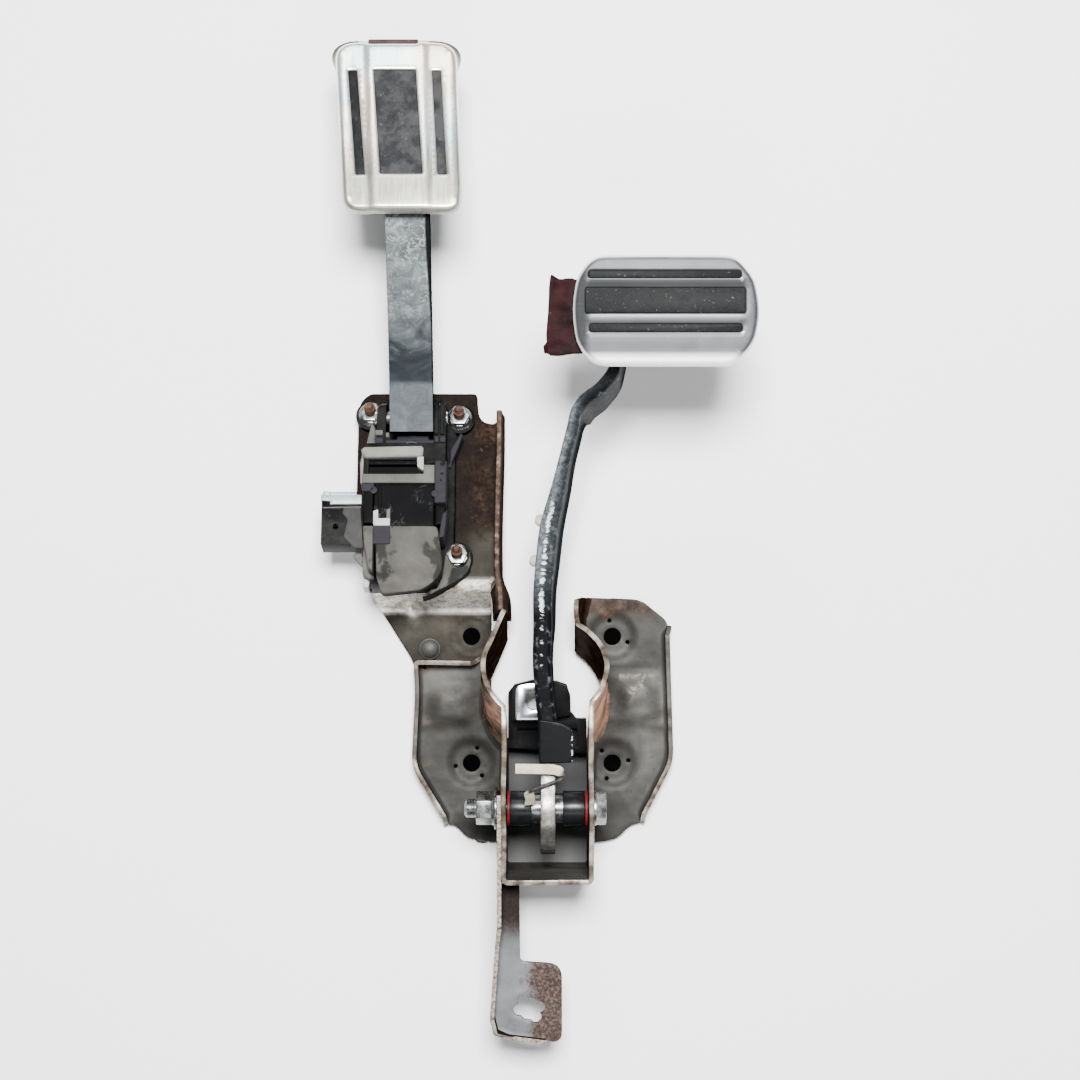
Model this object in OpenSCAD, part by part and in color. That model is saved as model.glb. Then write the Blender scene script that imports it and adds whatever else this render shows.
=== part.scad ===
// Pedal box of a car with an automatic gearbox, lying on its bulkhead side.
// A pressed steel bracket carries a hanging brake pedal on a through bolt and,
// on a second pressed plate, an electronic accelerator pedal module.
// +X is across the car, +Y runs from the pivot towards the pads, +Z is away
// from the bulkhead.  The origin is the centre of the four bulkhead bolt holes,
// on the mounting plane.

/* [Bulkhead bracket] */
// Bulkhead bolt spacing across
bolt_dx = 80; // [76:1:84]
// Bulkhead bolt spacing along
bolt_dy = 72; // [70:1:74]
// Bulkhead bolt hole diameter
bolt_d = 10; // [9:0.5:11]
// Thickness of the pressed flange sheet
sheet_t = 2.5; // [2:0.5:2.5]
// Thickness of the channel walls
wall_t = 3; // [2.5:0.5:3]
// Clear width of the channel that holds the brake pivot
chan_w = 44; // [44:1:46]
// Height of the channel walls above the mounting plane
wall_h = 72; // [70:1:74]
// Inner radius of the round bulge for the booster neck
bulge_r = 32; // [30:1:33]

/* [Brake pedal] */
// Height of the pivot bolt above the mounting plane
piv_z = 55; // [54:1:56]
// Diameter of the pivot bolt
piv_d = 10; // [8:1:10]
// Thickness of the pedal arm
arm_t = 8; // [7:1:9]
// Width of the brake pad
bpad_w = 97; // [92:1:99]
// Height of the brake pad
bpad_h = 57; // [54:1:60]
// Level of the brake pad face above the mounting plane
bpad_z = 131; // [130:1:133]

/* [Accelerator pedal] */
// Lean of the accelerator plate against the mounting plane
acc_tilt = 16; // [15:1:17]
// Width of the accelerator arm
aarm_w = 24; // [22:1:24]
// Width of the accelerator pad
apad_w = 66; // [62:1:68]
// Length of the accelerator pad
apad_l = 98; // [94:1:102]
// Lean of the accelerator pad
apad_tilt = 15; // [14:1:16]

/* [Hidden] */
$fn = 48;
e = 0.02;
piv = [3, -55.4, piv_z];
xu = 3;
u_end = -95;
ml = [-75, 120, 56.2 * sin(acc_tilt) + sheet_t * cos(acc_tilt)];
function pad_back(y) = [apc[1] + y * cos(apad_tilt) - 13 * sin(apad_tilt), apc[2] - y * sin(apad_tilt) - 13 * cos(apad_tilt)];
ap = [34, 22];
apc = [-76.7, 313, 86];
studs = [[-21.5, 41.5], [28.5, 39.5], [28, -41.5]];

// ---------- plane geometry ----------
function unit(v) = v / norm(v);
function perp(v) = [-v[1], v[0]];
function flat(l) = [for (a = l) each a];
// A polyline moved sideways by t, with mitred corners.
function beside(p, t) = [for (i = [0:len(p) - 1]) let (
    d0 = i > 0 ? unit(p[i] - p[i - 1]) : unit(p[1] - p[0]),
    d1 = i < len(p) - 1 ? unit(p[i + 1] - p[i]) : d0,
    m = unit(perp(d0) + perp(d1)))
  p[i] + m * (t / (m * perp(d0)))];
// The outline of a bent sheet that follows a polyline, t thick.
function band(p, t) = let (q = beside(p, t)) concat(p, [for (i = [len(p) - 1:-1:0]) q[i]]);
// One corner b, softened over a length l on both sides.
function corner(a, b, c, l, n) = let (s = b + unit(a - b) * l, f = b + unit(c - b) * l)
  [for (k = [0:n]) let (t = k / n) (1 - t) * (1 - t) * s + 2 * t * (1 - t) * b + t * t * f];
function soft(p, l, n = 4) = flat([for (i = [0:len(p) - 1])
  i == 0 || i == len(p) - 1 ? [p[i]] : corner(p[i - 1], p[i], p[i + 1], l, n)]);
// A closed outline with each corner softened by its own length.
function ring(p, l, n = 5) = let (m = len(p)) flat([for (i = [0:m - 1])
  let (li = is_list(l) ? l[i] : l)
  li == 0 ? [p[i]] : corner(p[(i + m - 1) % m], p[i], p[(i + 1) % m], li, n)]);
function slot2(w, h, r) = ring([[-w / 2, -h / 2], [w / 2, -h / 2], [w / 2, h / 2], [-w / 2, h / 2]], r, 4);

// Extrudes a (Y, Z) outline along X, from x0 to x1.
module along_x(x0, x1) { translate([x0, 0, 0]) rotate([90, 0, 90]) linear_extrude(x1 - x0) children(); }
// A round bar along X.
module bar_x(x0, x1, r) { translate([x0, 0, 0]) rotate([0, 90, 0]) cylinder(h = x1 - x0, r = r); }
module tube_x(x0, x1, ro, ri) {
  difference() { bar_x(x0, x1, ro); bar_x(x0 - 1, x1 + 1, ri); }
}
// Skin over rings of points that all have the same count.
module sweep(r) {
  n = len(r[0]); m = len(r);
  polyhedron(
    points = flat(r),
    faces = concat(
      [[for (i = [n - 1:-1:0]) i]],
      [for (j = [0:m - 2]) for (i = [0:n - 1])
        [j * n + i, j * n + (i + 1) % n, (j + 1) * n + (i + 1) % n, (j + 1) * n + i]],
      [[for (i = [0:n - 1]) (m - 1) * n + i]]),
    convexity = 8);
}
// Rings of a round wire along a path.
function wire(p, r, k = 8) = [for (i = [0:len(p) - 1]) let (
    t = unit(p[min(i + 1, len(p) - 1)] - p[max(i - 1, 0)]),
    h = abs(t[2]) > 0.9 ? [0, 1, 0] : [0, 0, 1],
    u = unit(cross(h, t)), v = cross(t, u))
  [for (a = [0:k - 1]) p[i] + r * (cos(360 * a / k) * u + sin(360 * a / k) * v)]];
function coil(r, pitch, turns, k = 14) = [for (i = [0:round(turns * k)])
  [r * cos(360 * i / k), r * sin(360 * i / k), pitch * i / k]];

// ---------- frames ----------
module acc() { translate(ml) rotate([-acc_tilt, 0, 0]) children(); }
module apivot() { acc() translate([0, ap[0], ap[1]]) children(); }
module apad() { translate(apc) rotate([-apad_tilt, 0, 0]) rotate([0, 0, 3.3]) children(); }
module bpad() { translate([63.9, 208.9, bpad_z]) children(); }
module pivot() { translate([0, piv[1], piv[2]]) children(); }

// ---------- bulkhead bracket ----------
module bulge(r) { translate([1.5, -3.9, 0]) rotate([-23.7, 0, 0]) translate([0, 0, -30]) cylinder(h = 160, r = r, $fn = 64); }
module chan_in() { translate([xu - chan_w / 2, u_end + wall_t, -5]) cube([chan_w, 27 - u_end - wall_t, 150]); }
module mouth() { translate([-24, 16, -5]) cube([44, 80, 150]); }
module seat_at(p) { translate([p[0], p[1], 0]) children(); }
bolts3 = [[bolt_dx / 2, bolt_dy / 2], [bolt_dx / 2, -bolt_dy / 2], [-bolt_dx / 2, -bolt_dy / 2]];

module main_bracket() {
  plan = [[20, 58], [55.7, 57], [71.5, 44.5], [73.9, -34], [55.7, -69.2], [50, -71], [43.2, -78.3],
    [33, -80.6], [-27, -80.6], [-42.5, -78.3], [-49, -71], [-52.8, -70.4], [-73.2, -36.9],
    [-71.5, 5.7], [-73.2, 22.6], [-24, 22.6], [20, 22.6]];
  side = [[u_end, sheet_t], [u_end, wall_h], [-8, wall_h], [8, 68], [22, 60], [34, 52], [46, 44], [58, 37], [58, sheet_t]];
  color("dimgray") difference() {
    union() {
      difference() {
        union() {
          translate([0, 0, sheet_t]) linear_extrude(sheet_t) polygon(plan);
          for (p = bolts3) seat_at(p) cylinder(h = 2 * sheet_t, r = 13.5);
          // upturned rims of the two flanges
          translate([0, 0, sheet_t]) linear_extrude(10)
            polygon(band([[71.5, 44.5], [73.9, -34], [55.7, -69.2]], -sheet_t));
          translate([0, 0, sheet_t]) linear_extrude(11)
            polygon(band([[-38, 22.6], [-73.2, 22.6], [-71.5, 5.7], [-73.2, -36.9], [-52.8, -70.4]], sheet_t));
          // raised stiffening panels between the bolt seats
          hull() {
            translate([42, -20, 2 * sheet_t - e]) cube([24, 33, e]);
            translate([46, -15, 2 * sheet_t + 3]) cube([16, 23, e]);
          }
          hull() {
            translate([-65, -20, 2 * sheet_t - e]) cube([27, 33, e]);
            translate([-61, -15, 2 * sheet_t + 3]) cube([19, 23, e]);
          }
        }
        chan_in(); bulge(bulge_r + 0.01); mouth();
        for (p = bolts3) seat_at(p) translate([0, 0, sheet_t]) cylinder(h = 20, r = 11);
      }
      // channel walls with the bulge, cut to the side profile
      intersection() {
        difference() {
          union() {
            translate([xu - chan_w / 2 - wall_t, u_end, 0]) cube([chan_w + 2 * wall_t, 27 - u_end, 100]);
            bulge(bulge_r + wall_t);
          }
          chan_in(); bulge(bulge_r); mouth();
        }
        along_x(-45, 45) polygon(side);
      }
      // leaning end of the wall on the long flange
      translate([23.4, 33, sheet_t]) rotate([0, -7, 0]) cube([sheet_t, 25, 34]);
    }
    for (p = bolts3) seat_at(p) {
      translate([0, 0, -1]) cylinder(h = 20, d = bolt_d);
      for (a = [0, 120, 240]) rotate(a + (p[0] < 0 ? 180 : 0)) translate([8.6, 0, -1]) cylinder(h = 9, r = 1.3, $fn = 20);
    }
    pivot() bar_x(-60, 60, piv_d / 2 + 0.2);
  }
}

// Second pressing: a tongue under the bracket, a step and the leaning plate.
module accelerator_bracket() {
  top = ml + [0, 56.2 * cos(acc_tilt), -56.2 * sin(acc_tilt)];
  knee = ml + [0, -57 * cos(acc_tilt), 57 * sin(acc_tilt)];
  line = soft([[top[1], top[2]], [knee[1], knee[2]], [50, sheet_t], [2, sheet_t]], 5, 4);
  plan = concat([[-104, 190], [-36.5, 190], [-36.5, 166]],
    corner([-36.5, 166], [-35, 156.5], [-23, 156.5], 6, 5),
    [[-27, 157], [-26.9, 160.5], [-23, 160.5], [-23, 56], [-28, 50], [-28, 4], [-66, 4], [-74.5, 24], [-91, 50], [-97, 66], [-104, 100]]);
  color("dimgray") difference() {
    union() {
      intersection() {
        along_x(-110, -20) polygon(band(line, sheet_t));
        translate([0, 0, -5]) linear_extrude(80) polygon(plan);
      }
      // upturned rim on the side towards the brake pedal
      acc() translate([0, 0, -1]) linear_extrude(13) polygon([[49.5, 42], [52, 42], [52, -58], [49.5, -58]]);
      // pressed ribs across the step
      for (x = [-80, -57]) hull() {
        translate([x - 4, 46, sheet_t - e]) cube([8, 10, e]);
        translate([x - 1.5, 56.5, 12]) cube([3, 1, e]);
      }
    }
    translate([-bolt_dx / 2, bolt_dy / 2, -1]) cylinder(h = 30, d = bolt_d);
    translate([-63.7, 29, -1]) cylinder(h = 20, r = 4);
    acc() for (s = studs) translate([s[0], s[1], -10]) cylinder(h = 20, r = 3.05);
  }
}

// Stay that runs on from the left wall to a tab with a lobed hole.
module tail_bracket() {
  zb = 45;
  t = 2.4;
  xl = xu - chan_w / 2 - wall_t;
  // rim: down the wall, leaning out, then round the foot of the tab
  rim = [[xl, -47], [xl, -120], [xl - 1, -128], [xl - 4, -170], [xl - 2, -178], [xl + 4, -180.5], [xl + 24, -183]];
  color("dimgray") difference() {
    union() {
      difference() {
        translate([0, 0, zb]) linear_extrude(25) polygon(band(rim, -t));
        // the rim falls away towards the tab
        along_x(-60, 40) polygon([[-108, 90], [-120, 66], [-178, 59], [-181, 52], [-220, 50], [-220, 90]]);
      }
      translate([0, 0, zb]) linear_extrude(t) difference() {
        polygon(concat([[xl - 0.5, -98], [-12.5, -97.5], [-12, -137]],
          corner([-12, -137], [-12, -140.5], [4, -141.5], 2.5, 4),
          corner([-12, -140.5], [11, -142], [11, -175], 8, 5),
          corner([11, -150], [11, -184.6], [2, -184.8], 5, 5),
          [[xl + 23, -183.6], [xl + 4, -181.5], [xl - 2, -179], [xl - 4.5, -170], [xl - 1.5, -128], [xl - 0.5, -120]]));
        translate([-7, -166.5]) union() {
          circle(r = 6.2);
          for (a = [8, 128, 188, 308]) rotate(a) translate([5.6, 0]) circle(r = 3.2, $fn = 24);
        }
      }
    }
    pivot() bar_x(-60, 0, piv_d / 2 + 0.2);
  }
}

module locating_rivet() {
  color("dimgray") translate([-63.7, 29, 0]) {
    cylinder(h = 4, r = 3.95);
    translate([0, 0, sheet_t]) cylinder(h = 2, r = 6.1);
    translate([0, 0, sheet_t + 2 - e]) rotate_extrude() polygon([[0, 0], [5.2, 0], [4.8, 1.2], [3.2, 2.3], [0, 2.8]]);
  }
}

// Moulded bridge between the channel walls, behind the arm.
module switch_holder() {
  xl = xu - chan_w / 2;
  xr = xl + chan_w;
  color("black") translate([0, 0, 8.5]) difference() {
    union() {
      linear_extrude(9.5) polygon([[xl, -26], [xr, -29], [xr, -9.6], [19.5, -9.6], [16, -5.5], [16, 3.5], [14, 9.4], [8.4, 11.4], [-5.6, 11.9], [-15.5, 9.4], [xl, 4.9]]);
      linear_extrude(16) polygon(ring([[6, -9], [16, -7], [16, 3.5], [13.8, 9], [8.4, 10.8], [6, 10.8]], 1));
      linear_extrude(12) polygon(ring([[-17, -11], [6.5, -11], [6.5, 8], [-17, 8]], 1.5));
    }
    translate([-14, -25, 5.5]) linear_extrude(20) polygon(ring([[0, 0], [34, 0], [34, 10], [0, 10]], 1.5));
    translate([-4, 0.5, -1]) cylinder(h = 30, r = 5.6);
  }
}
module switch_plate() {
  color("silver") translate([0, 0, 20.5]) linear_extrude(2) difference() {
    polygon(ring([[-14.8, -9.8], [5.4, -9.8], [5.4, 10], [-6, 10.6], [-13.4, 9.2], [-14.8, 7]], 1.2));
    translate([-4, 0.5]) circle(r = 5.2);
  }
}

// ---------- brake pivot ----------
module hexbar(x0, x1, af) { translate([x0, 0, 0]) rotate([0, 90, 0]) rotate(30) cylinder(h = x1 - x0, d = af / cos(30), $fn = 6); }

module pivot_bolt() {
  xr = xu + chan_w / 2 + wall_t;
  color("silver") pivot() {
    bar_x(-41, xr + 1, piv_d / 2);
    translate([-41.9, 0, 0]) rotate([0, 90, 0]) cylinder(h = 0.92, r1 = piv_d / 2 - 1, r2 = piv_d / 2);
    bar_x(xr, xr + 1.6, 9.5);
    intersection() {
      hexbar(xr + 1.5, xr + 7, 16);
      rotate([0, 90, 0]) rotate_extrude() polygon([[0, xr], [12, xr], [12, xr + 5.6], [7.6, xr + 7.1], [0, xr + 7.1]]);
    }
  }
}

module pivot_nut() {
  xl = xu - chan_w / 2 - wall_t - 2.4 - 3;
  color("silver") pivot() difference() {
    union() {
      intersection() {
        hexbar(xl - 8.5, xl, 16);
        rotate([0, 90, 0]) rotate_extrude() polygon([[0, xl - 9], [7.6, xl - 9], [12, xl - 7], [12, xl + 1], [0, xl + 1]]);
      }
    }
    bar_x(xl - 20, xl + 5, piv_d / 2);
  }
}

module pivot_washers() {
  xl = xu - chan_w / 2 - wall_t - 2.4;
  color("silver") pivot() {
    tube_x(xl - 1.6, xl, 11.5, piv_d / 2 + 0.2);
    tube_x(xl - 3, xl - 1.6, 9.3, piv_d / 2 + 0.2);
  }
}

module pivot_sleeve() {
  color("silver") pivot() tube_x(xu - chan_w / 2, xu + chan_w / 2, 6, piv_d / 2 + 0.1);
}

module seal_rings() {
  color("firebrick") pivot() {
    tube_x(xu - chan_w / 2 + 0.1, xu - chan_w / 2 + 1.5, 9.7, 6.1);
    tube_x(xu + chan_w / 2 - 1.5, xu + chan_w / 2 - 0.1, 9.7, 6.1);
  }
}

// ---------- brake pedal ----------
// Middle of the near edge, then depth and sideways lean of the arm.
arm_line = [
  [3.2, -27, 79.8, 32, 0], [2.6, -4, 79.8, 29, 0], [1.0, 10, 80.5, 28, 0.02], [0.1, 30, 81.6, 27.5, 0.05], [0, 50, 83.2, 27, 0.09],
  [0.6, 72, 86.2, 26, 0.13], [3.2, 95, 90, 26, 0.16], [8, 118, 94.5, 26, 0.16], [13.2, 140, 99.2, 26, 0.15],
  [16.6, 154, 102.3, 25, 0.12], [18.6, 160.5, 103.8, 25, 0.08], [22.5, 165.5, 105, 24, 0.03], [30, 171.5, 108, 23, 0],
  [35, 176.5, 111, 22, 0], [38.5, 184, 115, 20, 0], [41, 194, 119.2, 17, 0], [43, 206, 119.2, 12, 0]];

function arm_ring(i) = let (
    a = arm_line[i], m = len(arm_line) - 1,
    p = [a[0], a[1], a[2]],
    q0 = arm_line[max(i - 1, 0)], q1 = arm_line[min(i + 1, m)],
    t = unit([q1[0] - q0[0], q1[1] - q0[1]]),
    s = [t[1], -t[0], 0] * arm_t / 2,
    d = [a[4], 0, -1] * a[3], c = 0.2)
  [p - s + d * 0.04, p - s * (1 - c), p + s * (1 - c), p + s + d * 0.04,
   p + s + d * 0.96, p + s * (1 - c) + d, p - s * (1 - c) + d, p - s + d * 0.96];

module brake_arm() {
  color("#26292c") difference() {
    sweep([for (i = [0:len(arm_line) - 1]) arm_ring(i)]);
    // hole for the booster clevis pin
    translate([0, 25, 68]) bar_x(-30, 30, 5);
  }
}

// Folded striker tab on the near edge of the arm.
module brake_tab() {
  color("#26292c") translate([0, 0, 79.8]) linear_extrude(3)
    polygon(ring([[-1.6, -28.5], [16.5, -28], [16.5, -10], [10, -6.5], [-1.6, -5]], [1, 2, 3, 3, 1]));
}

module brake_lever() {
  color("lightgray") difference() {
    union() {
      pivot() bar_x(xu - 3.8, xu - 3.8 + arm_t, 25);
      along_x(xu - 3.8, xu - 3.8 + arm_t)
        polygon([[piv[1] + 2, piv[2] + 24], [-27.2, 79.6], [-27.2, 49], [piv[1] + 14, piv[2] - 18], [piv[1] + 2, piv[2] - 20]]);
    }
    pivot() bar_x(-60, 60, 8);
  }
}

module brake_hub_tube() {
  color("silver") pivot() tube_x(xu - chan_w / 2 + 1.8, xu + chan_w / 2 - 1.8, 8, 7);
}

module brake_spacers() {
  color("#26292c") pivot() {
    tube_x(xu - chan_w / 2 + 1.8, -5.7, 9.4, 8);
    tube_x(11.4, xu + chan_w / 2 - 1.8, 9.4, 8);
  }
}

module brake_bushes() {
  color("ivory") pivot() {
    tube_x(xu - chan_w / 2 + 1.8, xu - chan_w / 2 + 15, 7, 6.05);
    tube_x(xu + chan_w / 2 - 15, xu + chan_w / 2 - 1.8, 7, 6.05);
  }
}

module brake_foot_plate() {
  color("darkred") translate([0, 0, 119.2]) linear_extrude(3)
    polygon(concat([[4.5, 228.3]], corner([4.5, 228.3], [9, 225], [18, 225.5], 3, 4), [[30, 226], [96, 226], [104, 218], [104, 198], [96, 189], [30, 188], [16, 187], [3.2, 186.6], [2, 196]]));
}

// Outline of the brake pad, bowed at both ends.
function bpad_out(g) = let (w = bpad_w / 2 + g, h = bpad_h / 2 + g)
  ring([[-w + 11, -h], [w - 13, -h], [w - 3, -h + 12], [w, 0], [w - 3, h - 12], [w - 13, h], [-w + 11, h], [-w + 2.5, h - 11], [-w, 0], [-w + 2.5, -h + 11]],
    [7, 6, 6, 8, 6, 6, 7, 6, 8, 6], 4);
bp_win = [[-0.9, 18.4, 78.6, 4.4], [-0.6, 5, 82.6, 13.6], [-0.4, -9.2, 78.6, 4.6]];

module brake_pad_rubber() {
  color("#303234") bpad() union() {
    translate([0, 0, -8.8]) linear_extrude(6.6) polygon(bpad_out(-1.4));
    for (w = bp_win) translate([w[0], w[1], -2.3]) linear_extrude(1.6) polygon(slot2(w[2] - 0.4, w[3] - 0.4, 1.4));
  }
}

module brake_pad_trim() {
  color("gainsboro") bpad() difference() {
    union() {
      translate([0, 0, -2.2]) linear_extrude(1.2) polygon(bpad_out(-0.4));
      translate([0, 0, -7.4]) linear_extrude(5.6) difference() { polygon(bpad_out(0)); polygon(bpad_out(-1.2)); }
    }
    for (w = bp_win) translate([w[0], w[1], -4]) linear_extrude(8) polygon(slot2(w[2], w[3], 1.5));
  }
}

// Bent wire that holds the pedal back.
module brake_spring() {
  p = [[-14.2, -31, 84.6], [-6, -31.1, 84.8], [2, -31.3, 84.6], [7.5, -31.8, 84.4], [10.6, -33.4, 83.8], [11.2, -35.6, 82.8], [8, -37.8, 82.2],
    [2, -40, 81.8], [-3.6, -42.2, 81.2], [-6.6, -43.6, 79.8], [-6.9, -45.4, 77.6], [-6.4, -48.2, 74.4], [-6.9, -51.2, 71.2]];
  color("ivory") sweep(wire(p, 2.2, 10));
}

// Two nylon studs of a clip, on the left side of the arm.
module clip_stud(at, v) {
  translate(at) rotate([0, acos(v[2] / norm(v)), atan2(v[1], v[0])]) {
    cylinder(h = 3.4, r = 3.2);
    translate([0, 0, 3.4 - e]) cylinder(h = 1.6, r1 = 3.2, r2 = 2);
  }
}
module arm_clip() {
  color("ivory") {
    clip_stud([1.36, 100.8, 84], [-1, 0.24, -0.16]);
    clip_stud([-1.66, 79.4, 80], [-1, 0.14, -0.14]);
  }
}

// ---------- accelerator module ----------
module accelerator_studs() {
  color("peru") acc() for (s = studs) translate([s[0], s[1], 0]) {
    translate([0, 0, -2.5]) cylinder(h = 21.5, r = 3);
    translate([0, 0, 19 - e]) cylinder(h = 3, r1 = 2.5, r2 = 1.4);
  }
}

module accelerator_nuts() {
  color("silver") acc() for (s = studs) translate([s[0], s[1], 5]) difference() {
    union() {
      cylinder(h = 1.6, r = 7);
      translate([0, 0, 1.6 - e]) cylinder(h = 1.6, r1 = 7, r2 = 5.4);
      cylinder(h = 7, d = 10 / cos(30), $fn = 6);
    }
    translate([0, 0, -1]) cylinder(h = 20, r = 3);
  }
}

// Base with three ears, bearing cheeks and the spring and sensor chambers.
module pedal_housing() {
  cavity = [[-8, -4], [14, -4], [14, 30], [-8, 30]];
  color("#1d1f20") acc() difference() {
    union() {
      // base
      linear_extrude(5) union() {
        polygon(ring([[-22, -61], [19, -61], [24, -52], [26.5, -36], [26.5, 20], [22, 33], [16, 44], [-22, 44]], 3));
        for (s = studs) translate(s) circle(r = 8.6);
        polygon([[12, -61], [27, -55.5], [35, -49], [36, -42], [20, -30]]);
      }
      // chamber block
      translate([0, 0, 4]) linear_extrude(31) polygon(ring([[-22, -8], [19, -8], [22, -4], [22, 15], [-22, 15]], 1.5));
      // sensor tray
      translate([0, 0, 4]) linear_extrude(18) polygon(ring([[-19, -62], [17, -62], [19, -58], [19, -7], [-19, -7]], 1.5));
      // bearing cheeks
      for (x = [-16.2, 15.2]) along_x(x, x + (x < 0 ? 5 : 6.6))
        polygon(ring([[14, 4], [43, 4], [43, 22], [38, 32], [28, 32], [14, 28]], 3));
      // tie between the cheeks and the block
      translate([-22, 12, 4]) cube([44, 5, 7]);
    }
    // spring chamber, open towards the cheeks
    translate([0, 0, 5]) linear_extrude(27) polygon(cavity);
    // tray hollow
    translate([-15.5, -59, 7]) cube([30, 49, 30]);
    // cheek bores and stud holes
    apivot_local() bar_x(-40, 40, 3.5);
    for (s = studs) translate([s[0], s[1], -1]) cylinder(h = 40, r = 3.3);
    for (s = studs) translate([s[0], s[1], 5]) cylinder(h = 40, r = 7.5);
    terminal_cuts(0.05);
    // recess on the chamber front
    translate([-20, -3.5, 28]) cube([37, 9, 20]);
  }
}
module apivot_local() { translate([0, ap[0], ap[1]]) children(); }

module housing_cover() {
  color("#8d8c86") acc() difference() {
    union() {
      translate([0, 0, 22]) linear_extrude(12) polygon(ring([[-19, -68], [14, -68], [19, -58], [19, -8], [-19, -8]], 1.5));
      translate([0, 0, 34 - e]) linear_extrude(3) polygon(ring([[-18, -63], [15, -60], [17.5, -52], [17.5, -33], [-18, -33]], 2));
    }
    translate([-15.5, -59, 20]) cube([30, 49, 11.5]);
    // label recess, left plain
    translate([-14, -31, 32.8]) cube([29, 22, 5]);
    // lower edge slopes off
    along_x(-40, 40) polygon([[-80, 20], [-66.5, 22.2], [-57, 45], [-80, 45]]);
    for (p = [[-17, -12], [16.6, -14], [15.2, -55]]) translate([p[0], p[1], 20]) cylinder(h = 30, r = 1.25, $fn = 20);
  }
}

module cover_screws() {
  color("silver") acc() for (p = [[-17, -12], [16.6, -14]]) translate([p[0], p[1], 24]) {
    cylinder(h = 10, r = 1.2, $fn = 20);
    translate([0, 0, 10]) cylinder(h = 1.4, r = 2, $fn = 24);
  }
}

// Loose cap over the spring chamber.
module spring_cap() {
  color("#a09f98") acc() difference() {
    translate([0, 0, 35]) linear_extrude(3.5) polygon(ring([[-21.8, 5.8], [9.6, 6.4], [10.2, 12.8], [-21.8, 12.2]], 1));
    translate([-18, 8, 37.4]) cube([24, 2.6, 5]);
  }
}

module connector_shell() {
  color("#222426") acc() difference() {
    union() {
      translate([-46, -40, 9]) cube([20, 28, 17]);
      translate([-26.1, -36, 11]) cube([4.1, 20, 12]);
      translate([-22.1, -33, 12]) cube([3.1, 14, 8]);
      translate([-47, -37, 12]) cube([2, 22, 11]);
    }
    translate([-50, -37.5, 11.5]) cube([20, 23, 12]);
    translate([-38, -30, 20]) cylinder(h = 20, r = 1.6, $fn = 24);
    terminal_cuts(0.05);
  }
}

module connector_lock() {
  color("#c9ccce") acc() difference() {
    union() {
      translate([-45, -12, 11]) cube([18, 2.2, 14]);
      translate([-45.6, -12, 23]) cube([4, 2.2, 3]);
    }
    translate([-36, -14, 20]) cube([6, 6, 2]);
  }
}

module terminal_cuts(g) {
  for (i = [0:5]) translate([-40 - g, -34.2 + i * 3.4 - g, 16.4 - g]) cube([29 + 2 * g, 1 + 2 * g, 0.8 + 2 * g]);
}
module connector_terminals() { color("goldenrod") acc() terminal_cuts(0); }

module sensor_board() {
  color("darkgreen") acc() difference() {
    translate([-14.5, -58, 9]) union() {
      cube([28, 47, 1.6]);
      translate([9, 18, 1.6]) cube([9, 12, 2]);
      translate([4, 34, 1.6]) cube([6, 5, 1.4]);
    }
  }
}

module accelerator_pin() {
  color("silver") acc() apivot_local() bar_x(-18, 22.5, 3.5);
}

module stop_buffer() {
  color("#2a2a2a") acc() translate([0, 6, 31.9]) rotate([180, 0, 0]) translate([0, 0, -0.1]) { translate([-5.5, 0, 0]) cylinder(h = 2.4, r = 1.5, $fn = 24); translate([11.5, 0, 0]) cylinder(h = 2.4, r = 1.5, $fn = 24); }
}

module return_spring_outer() {
  color("silver") acc() translate([3, 11, 19.7]) sweep(wire(coil(6.6, 2.75, 4, 14), 0.8, 6));
}
module return_spring_inner() {
  color("silver") acc() translate([3, 11, 19.5]) sweep(wire(coil(4.2, 2.3, 5, 12), 0.6, 6));
}

// ---------- accelerator pedal ----------
module accelerator_arm() {
  // near face of the arm, from the heel over the knee to the back of the pad
  line = soft([[150.5, 43], [178, 47], [206, 56.5], [243, 73.5], pad_back(-45), pad_back(-8)], 6, 5);
  color("#3a3e42") difference() {
    union() {
      translate([-72, 0, 0]) along_x(-aarm_w / 2, aarm_w / 2) polygon(band(line, -8.5));
      translate([-72, 0, 0]) intersection() {
        acc_shift() { bar_x(-aarm_w / 2, aarm_w / 2, 9); }
        translate([-aarm_w / 2, 100, -20]) cube([aarm_w, 200, 120]);
      }
      // heel between hub and arm
      translate([-72, 0, 0]) along_x(-aarm_w / 2, aarm_w / 2) polygon([[158, 37.5], [160, 41], [176, 44], [170, 30], [160, 28]]);
      // tail that works on the springs
      acc() translate([3, 0, 0]) along_x(-9, 9) polygon([[36, 15], [36, 24], [26, 18], [5.5, 17.5], [4.5, 16.5], [4.5, 11.5], [26, 11]]);
    }
    acc() apivot_local() bar_x(-60, 60, 5.5);
  }
}
module acc_shift() { translate([0, ml[1], ml[2]]) rotate([-acc_tilt, 0, 0]) apivot_local() children(); }

module accelerator_bushes() {
  color("ivory") acc() apivot_local() {
    tube_x(3 - aarm_w / 2, 3 - aarm_w / 2 + 8, 5.5, 3.56);
    tube_x(3 + aarm_w / 2 - 8, 3 + aarm_w / 2, 5.5, 3.56);
  }
}

module spring_seat() {
  color("ivory") acc() translate([3, 11, 17.95]) difference() {
    cylinder(h = 0.9, r = 8);
    translate([0, 0, -1]) cylinder(h = 4, r = 2);
  }
}

module sensor_magnet() {
  color("darkslategray") acc() apivot_local() tube_x(-0.5, 5.5, 5.5, 3.9);
}

function apad_out(g) = let (w = apad_w / 2 + g, h = apad_l / 2 + g)
  ring([[-w + 2.2, -h], [w - 1.4, -h], [w, -h + 12], [w - 0.8, h], [-w, h]], [9, 8, 4, 12, 12], 6);
ap_win = [[-21.6, 3, 4.9, 58], [0, 3, 22.6, 58], [21.6, 3, 4.9, 58]];

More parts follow.
